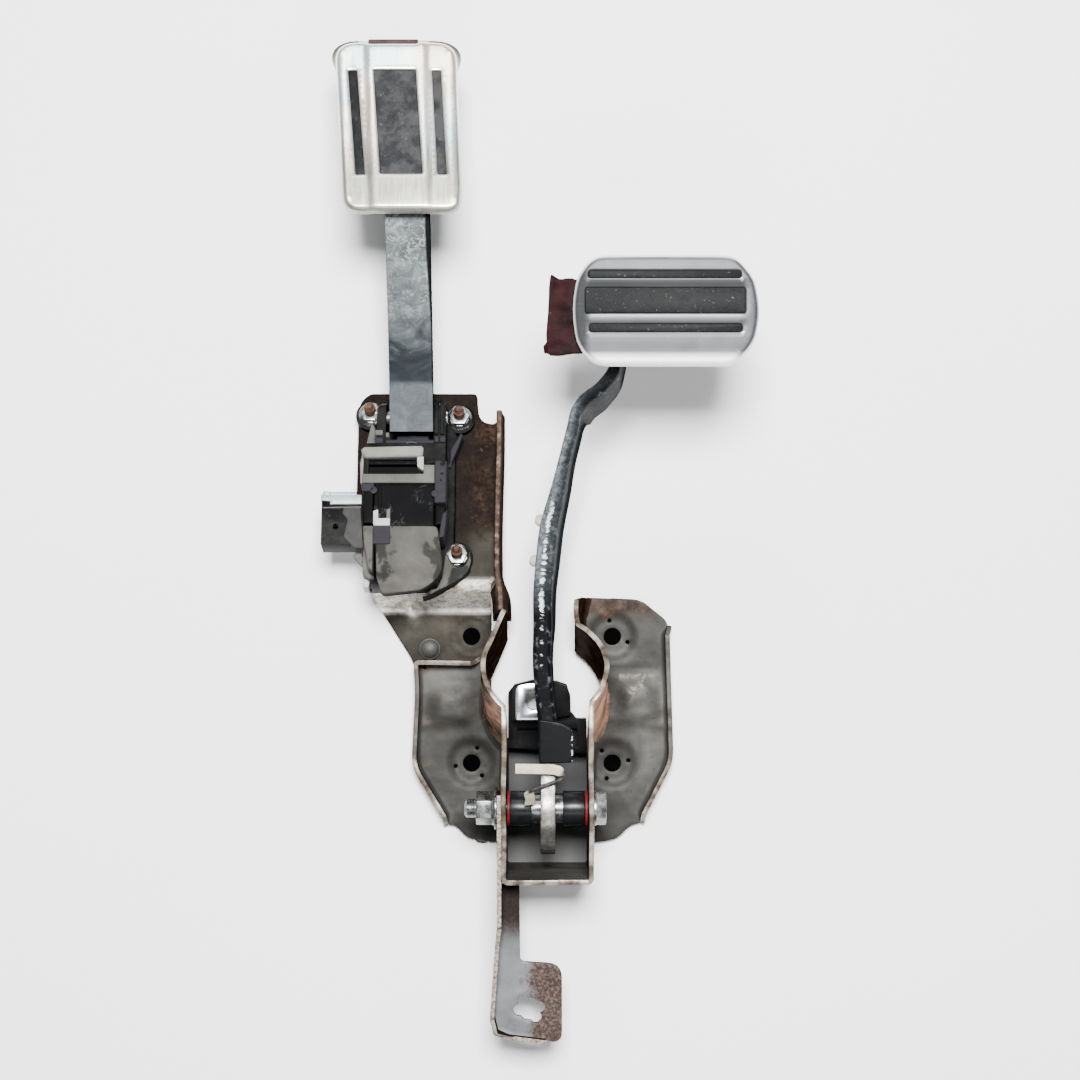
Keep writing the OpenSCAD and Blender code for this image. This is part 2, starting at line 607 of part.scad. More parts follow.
module accelerator_pad_base() {
  color("#242628") apad() translate([0, 0, -13]) linear_extrude(4) polygon(apad_out(-3));
}

module accelerator_pad_rubber() {
  color("#303234") apad() union() {
    translate([0, 0, -9]) linear_extrude(6.6) polygon(apad_out(-1.3));
    for (w = ap_win) translate([w[0], w[1], -2.5]) linear_extrude(1.8) polygon(slot2(w[2] - 0.4, w[3] - 0.4, 1));
  }
}

module accelerator_pad_trim() {
  color("gainsboro") apad() difference() {
    union() {
      translate([0, 0, -2.4]) linear_extrude(1.2) polygon(apad_out(-0.4));
      // middle panel stands a little proud
      translate([0, 0, -1.4]) linear_extrude(0.9) polygon([[-16, -apad_l / 2 + 2], [16, -apad_l / 2 + 2], [16, apad_l / 2 - 2], [-16, apad_l / 2 - 2]]);
      translate([0, 0, -8]) linear_extrude(6) difference() { polygon(apad_out(0)); polygon(apad_out(-1.1)); }
    }
    for (w = ap_win) translate([w[0], w[1], -4]) linear_extrude(8) polygon(slot2(w[2], w[3], 1.2));
    // gaps in the rolled edge at the toe end
    translate([-12, apad_l / 2 - 2.2, -10]) cube([24, 10, 8.2]);
  }
}

main_bracket();
accelerator_bracket();
tail_bracket();
locating_rivet();
switch_holder();
switch_plate();
pivot_bolt();
pivot_nut();
pivot_washers();
pivot_sleeve();
seal_rings();
accelerator_studs();
accelerator_nuts();
pedal_housing();
housing_cover();
spring_cap();
connector_shell();
connector_lock();
connector_terminals();
sensor_board();
cover_screws();
accelerator_pin();
stop_buffer();
return_spring_outer();
return_spring_inner();
accelerator_arm();
accelerator_bushes();
spring_seat();
sensor_magnet();
accelerator_pad_base();
accelerator_pad_rubber();
accelerator_pad_trim();
brake_arm();
brake_tab();
brake_lever();
brake_hub_tube();
brake_spacers();
brake_bushes();
brake_foot_plate();
brake_pad_rubber();
brake_pad_trim();
brake_spring();
arm_clip();
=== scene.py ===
import math

import bmesh
import bpy
import numpy as np
from mathutils import Matrix, Vector
from mathutils.geometry import delaunay_2d_cdt


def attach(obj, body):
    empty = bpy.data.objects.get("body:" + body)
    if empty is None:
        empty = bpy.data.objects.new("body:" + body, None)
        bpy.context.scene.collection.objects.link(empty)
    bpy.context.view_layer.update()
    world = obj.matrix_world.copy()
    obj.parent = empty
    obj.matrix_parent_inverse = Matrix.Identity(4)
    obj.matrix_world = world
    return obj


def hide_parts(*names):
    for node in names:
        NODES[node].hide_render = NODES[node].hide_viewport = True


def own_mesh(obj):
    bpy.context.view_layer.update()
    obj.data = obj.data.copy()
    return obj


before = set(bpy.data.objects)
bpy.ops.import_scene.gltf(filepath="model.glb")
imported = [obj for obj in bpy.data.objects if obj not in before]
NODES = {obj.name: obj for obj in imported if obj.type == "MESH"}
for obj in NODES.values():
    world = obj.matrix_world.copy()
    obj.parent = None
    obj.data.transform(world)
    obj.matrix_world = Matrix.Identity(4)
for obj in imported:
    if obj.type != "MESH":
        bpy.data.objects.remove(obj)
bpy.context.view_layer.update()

MM = 0.001

# ---------------------------------------------------------------- colours and materials


def C(r, g, b):
    out = []
    for c in (r, g, b):
        c = c / 255.0
        out.append(((c + 0.055) / 1.055) ** 2.4 if c > 0.04045 else c / 12.92)
    return (out[0], out[1], out[2], 1.0)


class Mat:
    """A procedural material: small helpers over a node tree."""

    def __init__(self, name):
        self.m = bpy.data.materials.new(name)
        self.m.use_nodes = True
        self.t = self.m.node_tree
        self.p = next(n for n in self.t.nodes if n.type == "BSDF_PRINCIPLED")
        self._co = None
        self._geo = None

    def new(self, kind, **props):
        n = self.t.nodes.new(kind)
        for k, v in props.items():
            setattr(n, k, v)
        return n

    def put(self, sock, v):
        if isinstance(v, bpy.types.NodeSocket):
            self.t.links.new(v, sock)
        else:
            sock.default_value = v

    def co(self):
        if self._co is None:
            self._co = self.new("ShaderNodeTexCoord").outputs["Object"]
        return self._co

    def stretched(self, sx, sy, sz, rot=(0, 0, 0)):
        n = self.new("ShaderNodeMapping")
        n.inputs["Scale"].default_value = (sx, sy, sz)
        n.inputs["Rotation"].default_value = rot
        self.put(n.inputs["Vector"], self.co())
        return n.outputs["Vector"]

    def noise(self, scale, detail=4.0, rough=0.55, dist=0.0, vec=None):
        n = self.new("ShaderNodeTexNoise")
        self.put(n.inputs["Vector"], vec if vec is not None else self.co())
        n.inputs["Scale"].default_value = scale
        n.inputs["Detail"].default_value = detail
        n.inputs["Roughness"].default_value = rough
        n.inputs["Distortion"].default_value = dist
        return n.outputs["Fac"]

    def cells(self, scale, vec=None, feature="F1", rand=1.0):
        n = self.new("ShaderNodeTexVoronoi", feature=feature)
        self.put(n.inputs["Vector"], vec if vec is not None else self.co())
        n.inputs["Scale"].default_value = scale
        n.inputs["Randomness"].default_value = rand
        return n.outputs["Distance"]

    def xyz(self):
        n = self.new("ShaderNodeSeparateXYZ")
        self.put(n.inputs[0], self.co())
        return n.outputs

    def normal(self):
        if self._geo is None:
            self._geo = self.new("ShaderNodeNewGeometry").outputs["Normal"]
        n = self.new("ShaderNodeSeparateXYZ")
        self.put(n.inputs[0], self._geo)
        return n.outputs

    def attr(self, name):
        return self.new("ShaderNodeAttribute", attribute_name=name).outputs["Fac"]

    def band(self, v, lo, hi, a=0.0, b=1.0):
        n = self.new("ShaderNodeMapRange", interpolation_type="SMOOTHSTEP")
        self.put(n.inputs["Value"], v)
        for k, x in (("From Min", lo), ("From Max", hi), ("To Min", a), ("To Max", b)):
            self.put(n.inputs[k], x)
        return n.outputs["Result"]

    def math(self, op, a, b=0.5, clamp=False):
        n = self.new("ShaderNodeMath", operation=op, use_clamp=clamp)
        self.put(n.inputs[0], a)
        self.put(n.inputs[1], b)
        return n.outputs[0]

    def ramp(self, fac, stops):
        n = self.new("ShaderNodeValToRGB")
        e = n.color_ramp.elements
        while len(e) < len(stops):
            e.new(0.5)
        for el, (pos, col) in zip(e, stops):
            el.position = pos
        for el, (pos, col) in zip(e, stops):
            el.position = pos
            el.color = col
        self.put(n.inputs["Fac"], fac)
        return n.outputs["Color"]

    def mix(self, fac, a, b, mode="MIX"):
        n = self.new("ShaderNodeMix", data_type="RGBA", blend_type=mode)
        self.put(n.inputs[0], fac)
        self.put(n.inputs[6], a)
        self.put(n.inputs[7], b)
        return n.outputs[2]

    def done(self, color, rough=0.5, metal=0.0, height=None, strength=0.3, dist=0.0004, spec=None, coat=None, coat_rough=0.2):
        self.put(self.p.inputs["Base Color"], color)
        self.put(self.p.inputs["Roughness"], rough)
        self.put(self.p.inputs["Metallic"], metal)
        if spec is not None:
            self.put(self.p.inputs["Specular IOR Level"], spec)
        if coat is not None:
            self.put(self.p.inputs["Coat Weight"], coat)
            self.put(self.p.inputs["Coat Roughness"], coat_rough)
        if height is not None:
            b = self.new("ShaderNodeBump")
            b.inputs["Strength"].default_value = strength
            b.inputs["Distance"].default_value = dist
            self.put(b.inputs["Height"], height)
            self.put(self.p.inputs["Normal"], b.outputs["Normal"])
        return self.m


def patina_steel():
    m = Mat("patina_steel")
    big = m.noise(26, 6, 0.62, 0.6)
    fine = m.noise(420, 4, 0.6)
    col = m.ramp(big, [(0.30, C(38, 37, 35)), (0.50, C(53, 52, 50)), (0.70, C(70, 69, 66))])
    col = m.mix(m.band(fine, 0.58, 0.74, 0.0, 0.45), col, C(24, 19, 16))
    dirt = m.band(m.noise(70, 5, 0.65), 0.56, 0.72, 0.0, 0.35)
    col = m.mix(dirt, col, C(44, 33, 26))
    tn = m.noise(55, 4, 0.6)
    tan = m.ramp(tn, [(0.32, C(136, 104, 86)), (0.55, C(186, 142, 118)), (0.75, C(208, 170, 148))])
    te = m.noise(60, 5, 0.7, 0.6)
    stain = m.band(m.math("ADD", m.attr("tan"), m.math("MULTIPLY", m.math("SUBTRACT", te, 0.5), 1.3)), 0.25, 0.85)
    stain = m.math("MULTIPLY", stain, m.band(m.noise(34, 5, 0.65, 0.3), 0.36, 0.54, 0.5, 1.0))
    col = m.mix(stain, col, tan)
    # painted shade: the shade mask darkens the steel next to the channel wall and towards the flanges' lower end
    shade = m.math("MULTIPLY", m.attr("shade"), m.band(big, 0.25, 0.65, 0.75, 0.45))
    col = m.mix(shade, col, C(22, 21, 19))
    rn = m.noise(150, 6, 0.7)
    rust = m.ramp(rn, [(0.30, C(20, 14, 11)), (0.46, C(40, 30, 24)), (0.60, C(60, 46, 37)), (0.74, C(82, 67, 56))])
    rmask = m.band(m.math("ADD", m.attr("rust"), m.math("MULTIPLY", rn, 0.8)), 0.62, 0.98)
    col = m.mix(rmask, col, rust)
    # painted shade: the walls of the bulge are darkened to almost black brown, over their rust
    col = m.mix(m.math("MULTIPLY", m.attr("painted_bulge_shade"), m.band(rn, 0.3, 0.7, 0.95, 0.60)), col, C(24, 13, 8))
    # painted highlight: the sheen mask lightens the steel along the flange's lit step edge and bumps
    sheen = m.math("MULTIPLY", m.attr("sheen"), m.band(m.noise(130, 5, 0.65, 0.6), 0.42, 0.62))
    col = m.mix(sheen, col, C(112, 108, 101))
    wn = m.noise(190, 5, 0.7)
    worn = m.ramp(m.noise(95, 4, 0.6), [(0.34, C(44, 35, 28)), (0.48, C(82, 74, 64)), (0.64, C(136, 131, 122))])
    wear = m.math("MULTIPLY", m.attr("wear"), m.band(wn, 0.26, 0.46))
    col = m.mix(wear, col, worn)
    rough = m.band(wear, 0, 1, 0.54, 0.36)
    up = m.band(m.normal()[2], 0.25, 0.75)
    metal = m.math("MULTIPLY", m.math("SUBTRACT", 0.42, m.math("MULTIPLY", rmask, 0.42), True), up)
    h = m.math("ADD", m.math("MULTIPLY", fine, 0.4), m.math("MULTIPLY", rn, m.attr("rust")))
    return m.done(col, rough, metal, h, 0.25, 0.0005, spec=m.math("MULTIPLY", up, 0.10))


def rust_plate():
    m = Mat("rust_plate")
    x, y, z = m.xyz()[:3]
    rn = m.noise(95, 7, 0.7, 0.4)
    sp = m.noise(420, 4, 0.65)
    steel = m.ramp(m.noise(40, 5, 0.6), [(0.3, C(30, 28, 25)), (0.55, C(45, 43, 38)), (0.75, C(60, 57, 51))])
    rust = m.ramp(rn, [(0.30, C(9, 6, 4)), (0.45, C(21, 13, 9)), (0.58, C(34, 23, 16)), (0.72, C(60, 44, 33))])
    up = m.band(y, 0.075, 0.118)
    mask = m.band(m.math("ADD", up, m.math("MULTIPLY", rn, 1.1)), 0.72, 1.25)
    col = m.mix(mask, steel, rust)
    col = m.mix(m.math("MULTIPLY", m.band(sp, 0.50, 0.62, 0.0, 0.85), mask), col, C(10, 5, 4))
    col = m.mix(m.math("MULTIPLY", m.band(sp, 0.40, 0.30), mask), col, C(56, 40, 30))
    # painted shadow: the plate is darkened beside the housing, where the module shades it
    col = m.mix(m.math("MULTIPLY", m.band(x, -0.034, -0.044, 0.0, 0.7), m.band(y, 0.072, 0.088)), col, C(14, 10, 7))
    # painted highlight and painted light: the knee's two bends and its step face, marked in the same mask as worn
    # edges, are painted near-white
    bend = m.attr("wear")
    wn = m.noise(160, 5, 0.7)
    bm = m.math("MULTIPLY", bend, m.band(wn, 0.26, 0.44, 0.8, 1.0))
    col = m.mix(bm, col, m.ramp(wn, [(0.28, C(150, 130, 106)), (0.40, C(216, 205, 186)), (0.54, C(248, 246, 240))]))
    col = m.mix(m.math("MULTIPLY", m.attr("rust"), m.band(sp, 0.47, 0.60)), col, C(106, 84, 64))
    # painted shade on one flank of each dart
    col = m.mix(m.math("MULTIPLY", m.attr("dart_flank_shade"), 0.8), col, C(58, 44, 34))
    rough = m.band(bm, 0, 1, 0.6, 0.34)
    metal = m.math("SUBTRACT", 0.32, m.math("MULTIPLY", mask, 0.30), True)
    h = m.math("ADD", m.math("MULTIPLY", rn, 0.7), sp)
    return m.done(col, rough, metal, h, 0.35, 0.0006, spec=0.04)


def rim_rust():
    m = Mat("rim_rust")
    rn = m.noise(110, 6, 0.7)
    st = m.noise(60, 4, 0.6, 0.0, m.stretched(4, 0.5, 4))
    col = m.ramp(st, [(0.3, C(16, 11, 8)), (0.5, C(32, 23, 18)), (0.7, C(54, 41, 33))])
    col = m.mix(m.band(rn, 0.52, 0.68), col, C(22, 11, 8))
    w = m.math("MULTIPLY", m.attr("wear"), m.band(rn, 0.28, 0.44))
    col = m.mix(w, col, m.ramp(m.noise(240, 5, 0.7), [(0.36, C(36, 26, 20)), (0.52, C(72, 58, 48)), (0.66, C(112, 99, 88))]))
    return m.done(col, 0.65, 0.0, rn, 0.3, 0.0005, spec=m.band(m.normal()[2], 0.25, 0.75, 0.0, 0.06))


def tail_steel():
    m = Mat("tail_steel")
    x, y, z = m.xyz()[:3]
    rn = m.noise(130, 6, 0.68)
    sp = m.noise(640, 4, 0.7)
    base = m.ramp(m.noise(45, 5, 0.6), [(0.3, C(76, 77, 78)), (0.6, C(98, 99, 101)), (0.8, C(122, 122, 122))])
    rust = m.ramp(sp, [(0.34, C(22, 12, 9)), (0.5, C(50, 35, 29)), (0.66, C(92, 75, 67))])
    right = m.band(m.math("ADD", x, m.math("MULTIPLY", m.math("SUBTRACT", rn, 0.5), 0.03)), -0.0105, -0.0025)
    web = m.band(y, -0.132, -0.114)
    mask = m.math("MAXIMUM", m.math("MULTIPLY", right, 0.92), web)
    col = m.mix(mask, base, rust)
    col = m.mix(m.math("MULTIPLY", web, 0.92), col, C(15, 8, 5))
    up = m.band(m.normal()[2], 0.25, 0.75)
    # painted shade: faces that don't face up are painted dark brown
    col = m.mix(up, C(34, 26, 21), col)
    w = m.math("MULTIPLY", m.attr("wear"), m.band(rn, 0.28, 0.46))
    col = m.mix(w, col, m.ramp(sp, [(0.38, C(70, 60, 52)), (0.6, C(158, 148, 138))]))
    metal = m.math("MULTIPLY", m.math("SUBTRACT", 0.40, m.math("MULTIPLY", mask, 0.40), True), up)
    return m.done(col, m.band(w, 0, 1, 0.5, 0.36), metal, rn, 0.25, 0.0005, spec=m.math("MULTIPLY", up, 0.10))


def black_paint():
    m = Mat("worn_black_paint")
    sw = m.noise(240, 4, 0.6)
    flow = m.noise(30, 4, 0.6, 0.8, m.stretched(1.0, 0.35, 1.0))
    col = m.ramp(flow, [(0.3, C(3, 3, 4)), (0.55, C(6, 7, 9)), (0.75, C(14, 16, 18))])
    up = m.band(m.normal()[2], 0.15, 0.6)
    # painted light: faces that don't face up take a lighter dark grey than the black top
    col = m.mix(up, C(20, 22, 24), col)
    pn = m.noise(330, 5, 0.7)
    pale = m.ramp(pn, [(0.34, C(42, 46, 48)), (0.5, C(72, 77, 80)), (0.68, C(112, 117, 120))])
    # painted sheen: the pale mask greys the arm's upper half, more on its near face
    col = m.mix(m.attr("pale"), col, pale)
    scr = m.noise(90, 5, 0.75, 1.2, m.stretched(0.8, 2.2, 1.0))
    # painted highlight and worn paint: near-white streaks and beads along the arm's near face
    w = m.math("MULTIPLY", m.attr("wear"), m.band(m.math("ADD", scr, m.math("MULTIPLY", m.attr("wear"), 0.20)), 0.66, 0.73))
    col = m.mix(w, col, C(206, 211, 214))
    # chipped paint along the arm's edges, and a painted highlight on the tab's right edge
    edge_chip_and_glint = m.math("MULTIPLY", m.attr("edge"), m.band(m.noise(210, 4, 0.7), 0.54, 0.66))
    col = m.mix(edge_chip_and_glint, col, C(86, 90, 94))
    both = m.math("MAXIMUM", w, edge_chip_and_glint)
    return m.done(col, m.band(both, 0, 1, 0.36, 0.42), m.math("MULTIPLY", m.band(both, 0, 1, 0.0, 0.7), up),
                  m.math("SUBTRACT", m.math("MULTIPLY", sw, 0.35), both), 0.3, 0.0005, spec=m.math("MULTIPLY", up, 0.06))


def stainless(name, long_axis, lo, hi, metal=0.95, rough0=0.25, dirt=(38, 30, 26), tints=None):
    m = Mat(name)
    s = (900, 14, 300) if long_axis == "y" else (14, 900, 300)
    br = m.noise(1.0, 3, 0.6, 0.0, m.stretched(*s))
    soft = m.noise(34, 4, 0.6)
    col = m.ramp(m.math("ADD", m.math("MULTIPLY", br, 0.55), m.math("MULTIPLY", soft, 0.45)), [(0.30, lo), (0.70, hi)])
    sm = m.noise(70, 6, 0.72, 0.8)
    smear = m.band(sm, 0.60, 0.72, 0.0, 0.55)
    col = m.mix(smear, col, C(104, 103, 99))
    spot = m.band(m.noise(520, 3, 0.6), 0.68, 0.76, 0.0, 0.7)
    col = m.mix(spot, col, C(96, 86, 74))
    # painted reflection: where the shine mask is set the trim is painted near-white with faint tints
    bright = m.ramp(m.noise(24, 3, 0.5, 0.3), tints or [(0.3, C(236, 239, 238)), (0.7, C(240, 241, 240))])
    col = m.mix(m.attr("painted_shine"), col, bright)
    col = m.mix(m.attr("grime"), col, C(*dirt))
    rough = m.math("ADD", m.math("MULTIPLY", br, 0.14), m.math("ADD", m.math("MULTIPLY", smear, 0.2), m.math("ADD", m.math("MULTIPLY", m.attr("grime"), 0.4), rough0)))
    clean = m.math("SUBTRACT", 1.0, m.attr("grime"), True)
    metal = m.math("MULTIPLY", clean, metal)
    m.put(m.p.inputs["Specular IOR Level"], m.math("MULTIPLY", clean, 0.4))
    return m.done(col, rough, metal, m.math("ADD", m.math("MULTIPLY", br, 0.3), soft), 0.10, 0.0004)


def pad_rubber(name="pad_rubber", lo=(4, 4, 5), mid=(9, 10, 11), hi=(21, 22, 24), dusty=(32, 34, 37), at=0.50):
    m = Mat(name)
    n1 = m.noise(120, 6, 0.7)
    col = m.ramp(n1, [(0.3, C(*lo)), (0.55, C(*mid)), (0.78, C(*hi))])
    dust = m.band(m.noise(80, 6, 0.72, 0.2), at, at + 0.2, 0.0, 0.55)
    col = m.mix(dust, col, C(*dusty))
    spk = m.band(m.noise(620, 3, 0.6), 0.66, 0.74)
    col = m.mix(spk, col, C(84, 84, 81))
    return m.done(col, m.band(dust, 0, 1, 0.55, 0.85), 0.0, m.math("ADD", m.noise(700, 3, 0.6), n1), 0.35, 0.0004, spec=0.10)


def black_plastic(name, dust_amount=0.5, tint=(27, 28, 29), dust=(96, 96, 90)):
    m = Mat(name)
    n = m.noise(60, 6, 0.65, 0.4)
    fine = m.noise(900, 2, 0.5)
    col = m.ramp(n, [(0.3, C(*[int(c * 0.7) for c in tint])), (0.7, C(*[int(c * 1.35) for c in tint]))])
    up = m.band(m.normal()[2], 0.35, 0.95)
    d = m.math("MULTIPLY", up, m.band(n, 0.36, 0.66, 0.0, dust_amount))
    col = m.mix(d, col, C(*dust))
    spk = m.band(m.noise(380, 3, 0.6), 0.66, 0.74, 0.0, dust_amount)
    col = m.mix(m.math("MULTIPLY", spk, up), col, C(52, 50, 45))
    return m.done(col, m.band(d, 0, 0.6, 0.5, 0.8), 0.0, m.math("ADD", m.math("MULTIPLY", fine, 0.5), n), 0.2, 0.0003, spec=0.03)


def arm_plastic():
    m = Mat("arm_plastic")
    x, y, z = m.xyz()[:3]
    wv = m.noise(55, 5, 0.6, 1.6, m.stretched(0.8, 1.5, 1.0))
    fine = m.noise(800, 2, 0.5)
    up = m.band(m.normal()[2], 0.45, 0.92)
    dark = m.ramp(wv, [(0.30, C(24, 27, 30)), (0.52, C(34, 38, 42)), (0.72, C(46, 51, 55))])
    pale = m.ramp(m.noise(95, 6, 0.65, 0.8), [(0.30, C(62, 66, 67)), (0.52, C(88, 93, 94)), (0.72, C(120, 124, 124))])
    upper = m.band(m.math("ADD", y, m.math("MULTIPLY", m.math("SUBTRACT", wv, 0.5), 0.05)), 0.189, 0.228)
    # painted light: the band across the arm's lower bend is painted lighter, as if lit
    foot = m.math("MULTIPLY", m.band(y, 0.1790, 0.1755), m.band(y, 0.1476, 0.1492))
    col = m.mix(upper, dark, pale)
    col = m.mix(foot, col, m.ramp(m.noise(70, 5, 0.65, 0.8), [(0.30, C(56, 61, 64)), (0.52, C(72, 77, 80)), (0.72, C(90, 95, 97))]))
    sw = m.noise(105, 3, 0.5, 2.2)
    curl = m.band(m.math("ABSOLUTE", m.math("SUBTRACT", sw, 0.5)), 0.045, 0.006)
    curl = m.math("MULTIPLY", curl, m.math("MULTIPLY", m.band(y, 0.200, 0.236), m.band(wv, 0.34, 0.56)))
    col = m.mix(m.math("MULTIPLY", curl, 0.7), col, C(146, 150, 148))
    # painted shade: a dark strip down the arm's right edge
    side = m.math("SUBTRACT", x, m.band(y, 0.259, 0.199, -0.0608, -0.0588))
    col = m.mix(m.math("MULTIPLY", m.band(side, -0.0022, -0.0012), m.band(y, 0.1755, 0.1790)), col, C(10, 11, 13))
    # painted shade: faces that don't face up are painted almost black
    col = m.mix(up, C(3, 3, 4), col)
    return m.done(col, m.band(wv, 0.3, 0.7, 0.36, 0.52), 0.0, m.math("ADD", m.math("MULTIPLY", fine, 0.15), wv), 0.35, 0.0012, spec=m.math("MULTIPLY", up, 0.08))


def dusty_grey():
    m = Mat("dusty_grey_plastic")
    n = m.noise(48, 6, 0.66, 0.5)
    sm = m.noise(62, 4, 0.55, 0.25, m.stretched(1.0, 0.7, 1.0, (0, 0, 0.5)))
    col = m.ramp(n, [(0.3, C(56, 55, 51)), (0.55, C(71, 70, 65)), (0.75, C(88, 87, 81))])
    up = m.band(m.normal()[2], 0.2, 0.85)
    # painted shade: faces that don't face up are painted dark grey
    col = m.mix(up, C(20, 20, 20), col)
    col = m.mix(m.math("MULTIPLY", m.band(sm, 0.53, 0.60, 0.0, 0.75), m.attr("smudge")), col, C(16, 17, 17))
    spk = m.band(m.noise(420, 3, 0.6), 0.67, 0.75, 0.0, 0.5)
    col = m.mix(spk, col, C(26, 25, 23))
    return m.done(col, 0.72, 0.0, m.math("ADD", n, m.math("MULTIPLY", m.noise(900, 2, 0.5), 0.5)), 0.2, 0.0003, spec=0.08)


def zinc():
    m = Mat("zinc_plate")
    n = m.noise(170, 5, 0.65)
    col = m.ramp(n, [(0.3, C(66, 68, 68)), (0.5, C(104, 107, 106)), (0.7, C(152, 155, 154))])
    d = m.band(m.noise(80, 5, 0.7), 0.56, 0.70, 0.0, 0.7)
    col = m.mix(d, col, C(56, 53, 48))
    y = m.band(m.noise(260, 4, 0.6), 0.62, 0.72, 0.0, 0.5)
    col = m.mix(y, col, C(120, 100, 74))
    return m.done(col, m.band(n, 0.3, 0.7, 0.22, 0.36), 0.95, n, 0.15, 0.0003, spec=0.2)


def rust_stud():
    m = Mat("rusted_stud")
    n = m.noise(300, 6, 0.7)
    col = m.ramp(n, [(0.3, C(32, 21, 16)), (0.5, C(64, 45, 35)), (0.7, C(100, 77, 63))])
    return m.done(col, 0.65, 0.05, n, 0.4, 0.0004, spec=0.1)


def red_paint():
    m = Mat("maroon_paint")
    n = m.noise(60, 6, 0.65, 0.8)
    col = m.ramp(n, [(0.3, C(11, 2, 3)), (0.52, C(22, 2, 4)), (0.72, C(38, 6, 8))])
    crack = m.band(m.noise(36, 4, 0.6, 2.4), 0.49, 0.505)
    crack2 = m.band(m.noise(36, 4, 0.6, 2.4), 0.535, 0.52)
    col = m.mix(m.math("MULTIPLY", m.math("MULTIPLY", crack, crack2), 0.75), col, C(26, 6, 7))
    spk = m.band(m.noise(340, 3, 0.6), 0.70, 0.76)
    col = m.mix(spk, col, C(110, 92, 88))
    return m.done(col, 0.5, 0.0, n, 0.45, 0.0010, spec=0.03)


def bare_steel():
    m = Mat("bare_forged_steel")
    n = m.noise(190, 6, 0.7)
    g = m.noise(40, 4, 0.6)
    col = m.ramp(n, [(0.3, C(66, 64, 60)), (0.5, C(112, 110, 105)), (0.7, C(166, 165, 160))])
    col = m.mix(m.band(g, 0.5, 0.7, 0.0, 0.5), col, C(84, 77, 66))
    return m.done(col, m.band(n, 0.3, 0.7, 0.42, 0.28), 0.85, n, 0.45, 0.0006)


def plain_speckle(name, lo, hi, rough, metal, scale=160, strength=0.15, coat=None):
    m = Mat(name)
    n = m.noise(scale, 5, 0.65)
    col = m.ramp(n, [(0.3, C(*lo)), (0.7, C(*hi))])
    d = m.band(m.noise(scale * 0.4, 5, 0.7), 0.58, 0.74, 0.0, 0.35)
    col = m.mix(d, col, C(*[int(c * 0.6) for c in lo]))
    return m.done(col, m.band(n, 0.3, 0.7, rough * 0.85, min(1.0, rough * 1.15)), metal, n, strength, 0.0003, spec=0.12 if metal == 0.0 else None, coat=coat)


M = {
    "steel": patina_steel(),
    "plate": rust_plate(),
    "rim": rim_rust(),
    "tail": tail_steel(),
    "paint": black_paint(),
    "trim_a": stainless("pad_trim_upright", "y", C(146, 146, 138), C(192, 191, 181), 0.86, 0.22, tints=[(0.34, C(204, 228, 230)), (0.48, C(242, 243, 241)), (0.62, C(240, 230, 214))]),
    "trim_b": stainless("pad_trim_wide", "x", C(38, 40, 43), C(68, 69, 72), 0.38, 0.40, (30, 31, 30)),
    "rubber": pad_rubber(),
    "plastic": black_plastic("black_plastic", 0.25, (6, 6, 7), (30, 30, 28)),
    "housing": black_plastic("housing_plastic", 0.55, (6, 7, 8), (38, 38, 36)),
    "socket": black_plastic("socket_plastic", 0.7, (7, 8, 9), (44, 44, 42)),
    "arm": arm_plastic(),
    "cover": dusty_grey(),
    "zinc": zinc(),
    "stud": rust_stud(),
    "red": red_paint(),
    "bare": bare_steel(),
    "pale": plain_speckle("pale_plastic", (150, 150, 143), (196, 197, 190), 0.6, 0.0, 90),
    "tin": plain_speckle("tin_strip", (104, 112, 116), (150, 157, 160), 0.45, 0.3, 120),
    "ivory": plain_speckle("ivory_nylon", (150, 142, 122), (188, 181, 160), 0.5, 0.0, 140),
    "ring": plain_speckle("red_rubber", (66, 10, 14), (108, 20, 26), 0.5, 0.0, 200),
    "spacer": plain_speckle("spacer_black", (8, 8, 9), (20, 21, 23), 0.34, 0.0, 160, 0.15, 0.1),
    "bright": plain_speckle("bright_steel", (150, 156, 160), (206, 210, 212), 0.22, 0.95, 60, 0.08),
    "board": plain_speckle("circuit_board", (24, 62, 40), (38, 86, 56), 0.5, 0.0, 220),
    "magnet": plain_speckle("magnet_ferrite", (46, 46, 48), (70, 70, 72), 0.6, 0.2, 220),
    "contact": plain_speckle("contact_metal", (180, 150, 84), (214, 184, 112), 0.3, 0.9, 220),
    "spring": plain_speckle("spring_wire", (18, 18, 19), (36, 36, 37), 0.5, 0.5, 300),
}

# ---------------------------------------------------------------- mesh helpers


def unit(v):
    v = np.asarray(v, float)
    return v / np.maximum(np.linalg.norm(v, axis=-1, keepdims=True), 1e-12)


def smooth01(t):
    t = np.clip(t, 0, 1)
    return t * t * (3 - 2 * t)


def wobble(x, y, wl, seed):
    """A soft repeatable unevenness of about +-1 with features near wl."""
    r = np.random.default_rng(seed)
    out = np.zeros_like(np.asarray(x, float))
    for _ in range(7):
        a = r.uniform(0, math.tau)
        k = math.tau / (wl * r.uniform(0.7, 1.6))
        out = out + np.sin((x * math.cos(a) + y * math.sin(a)) * k + r.uniform(0, math.tau))
    return out / 3.5


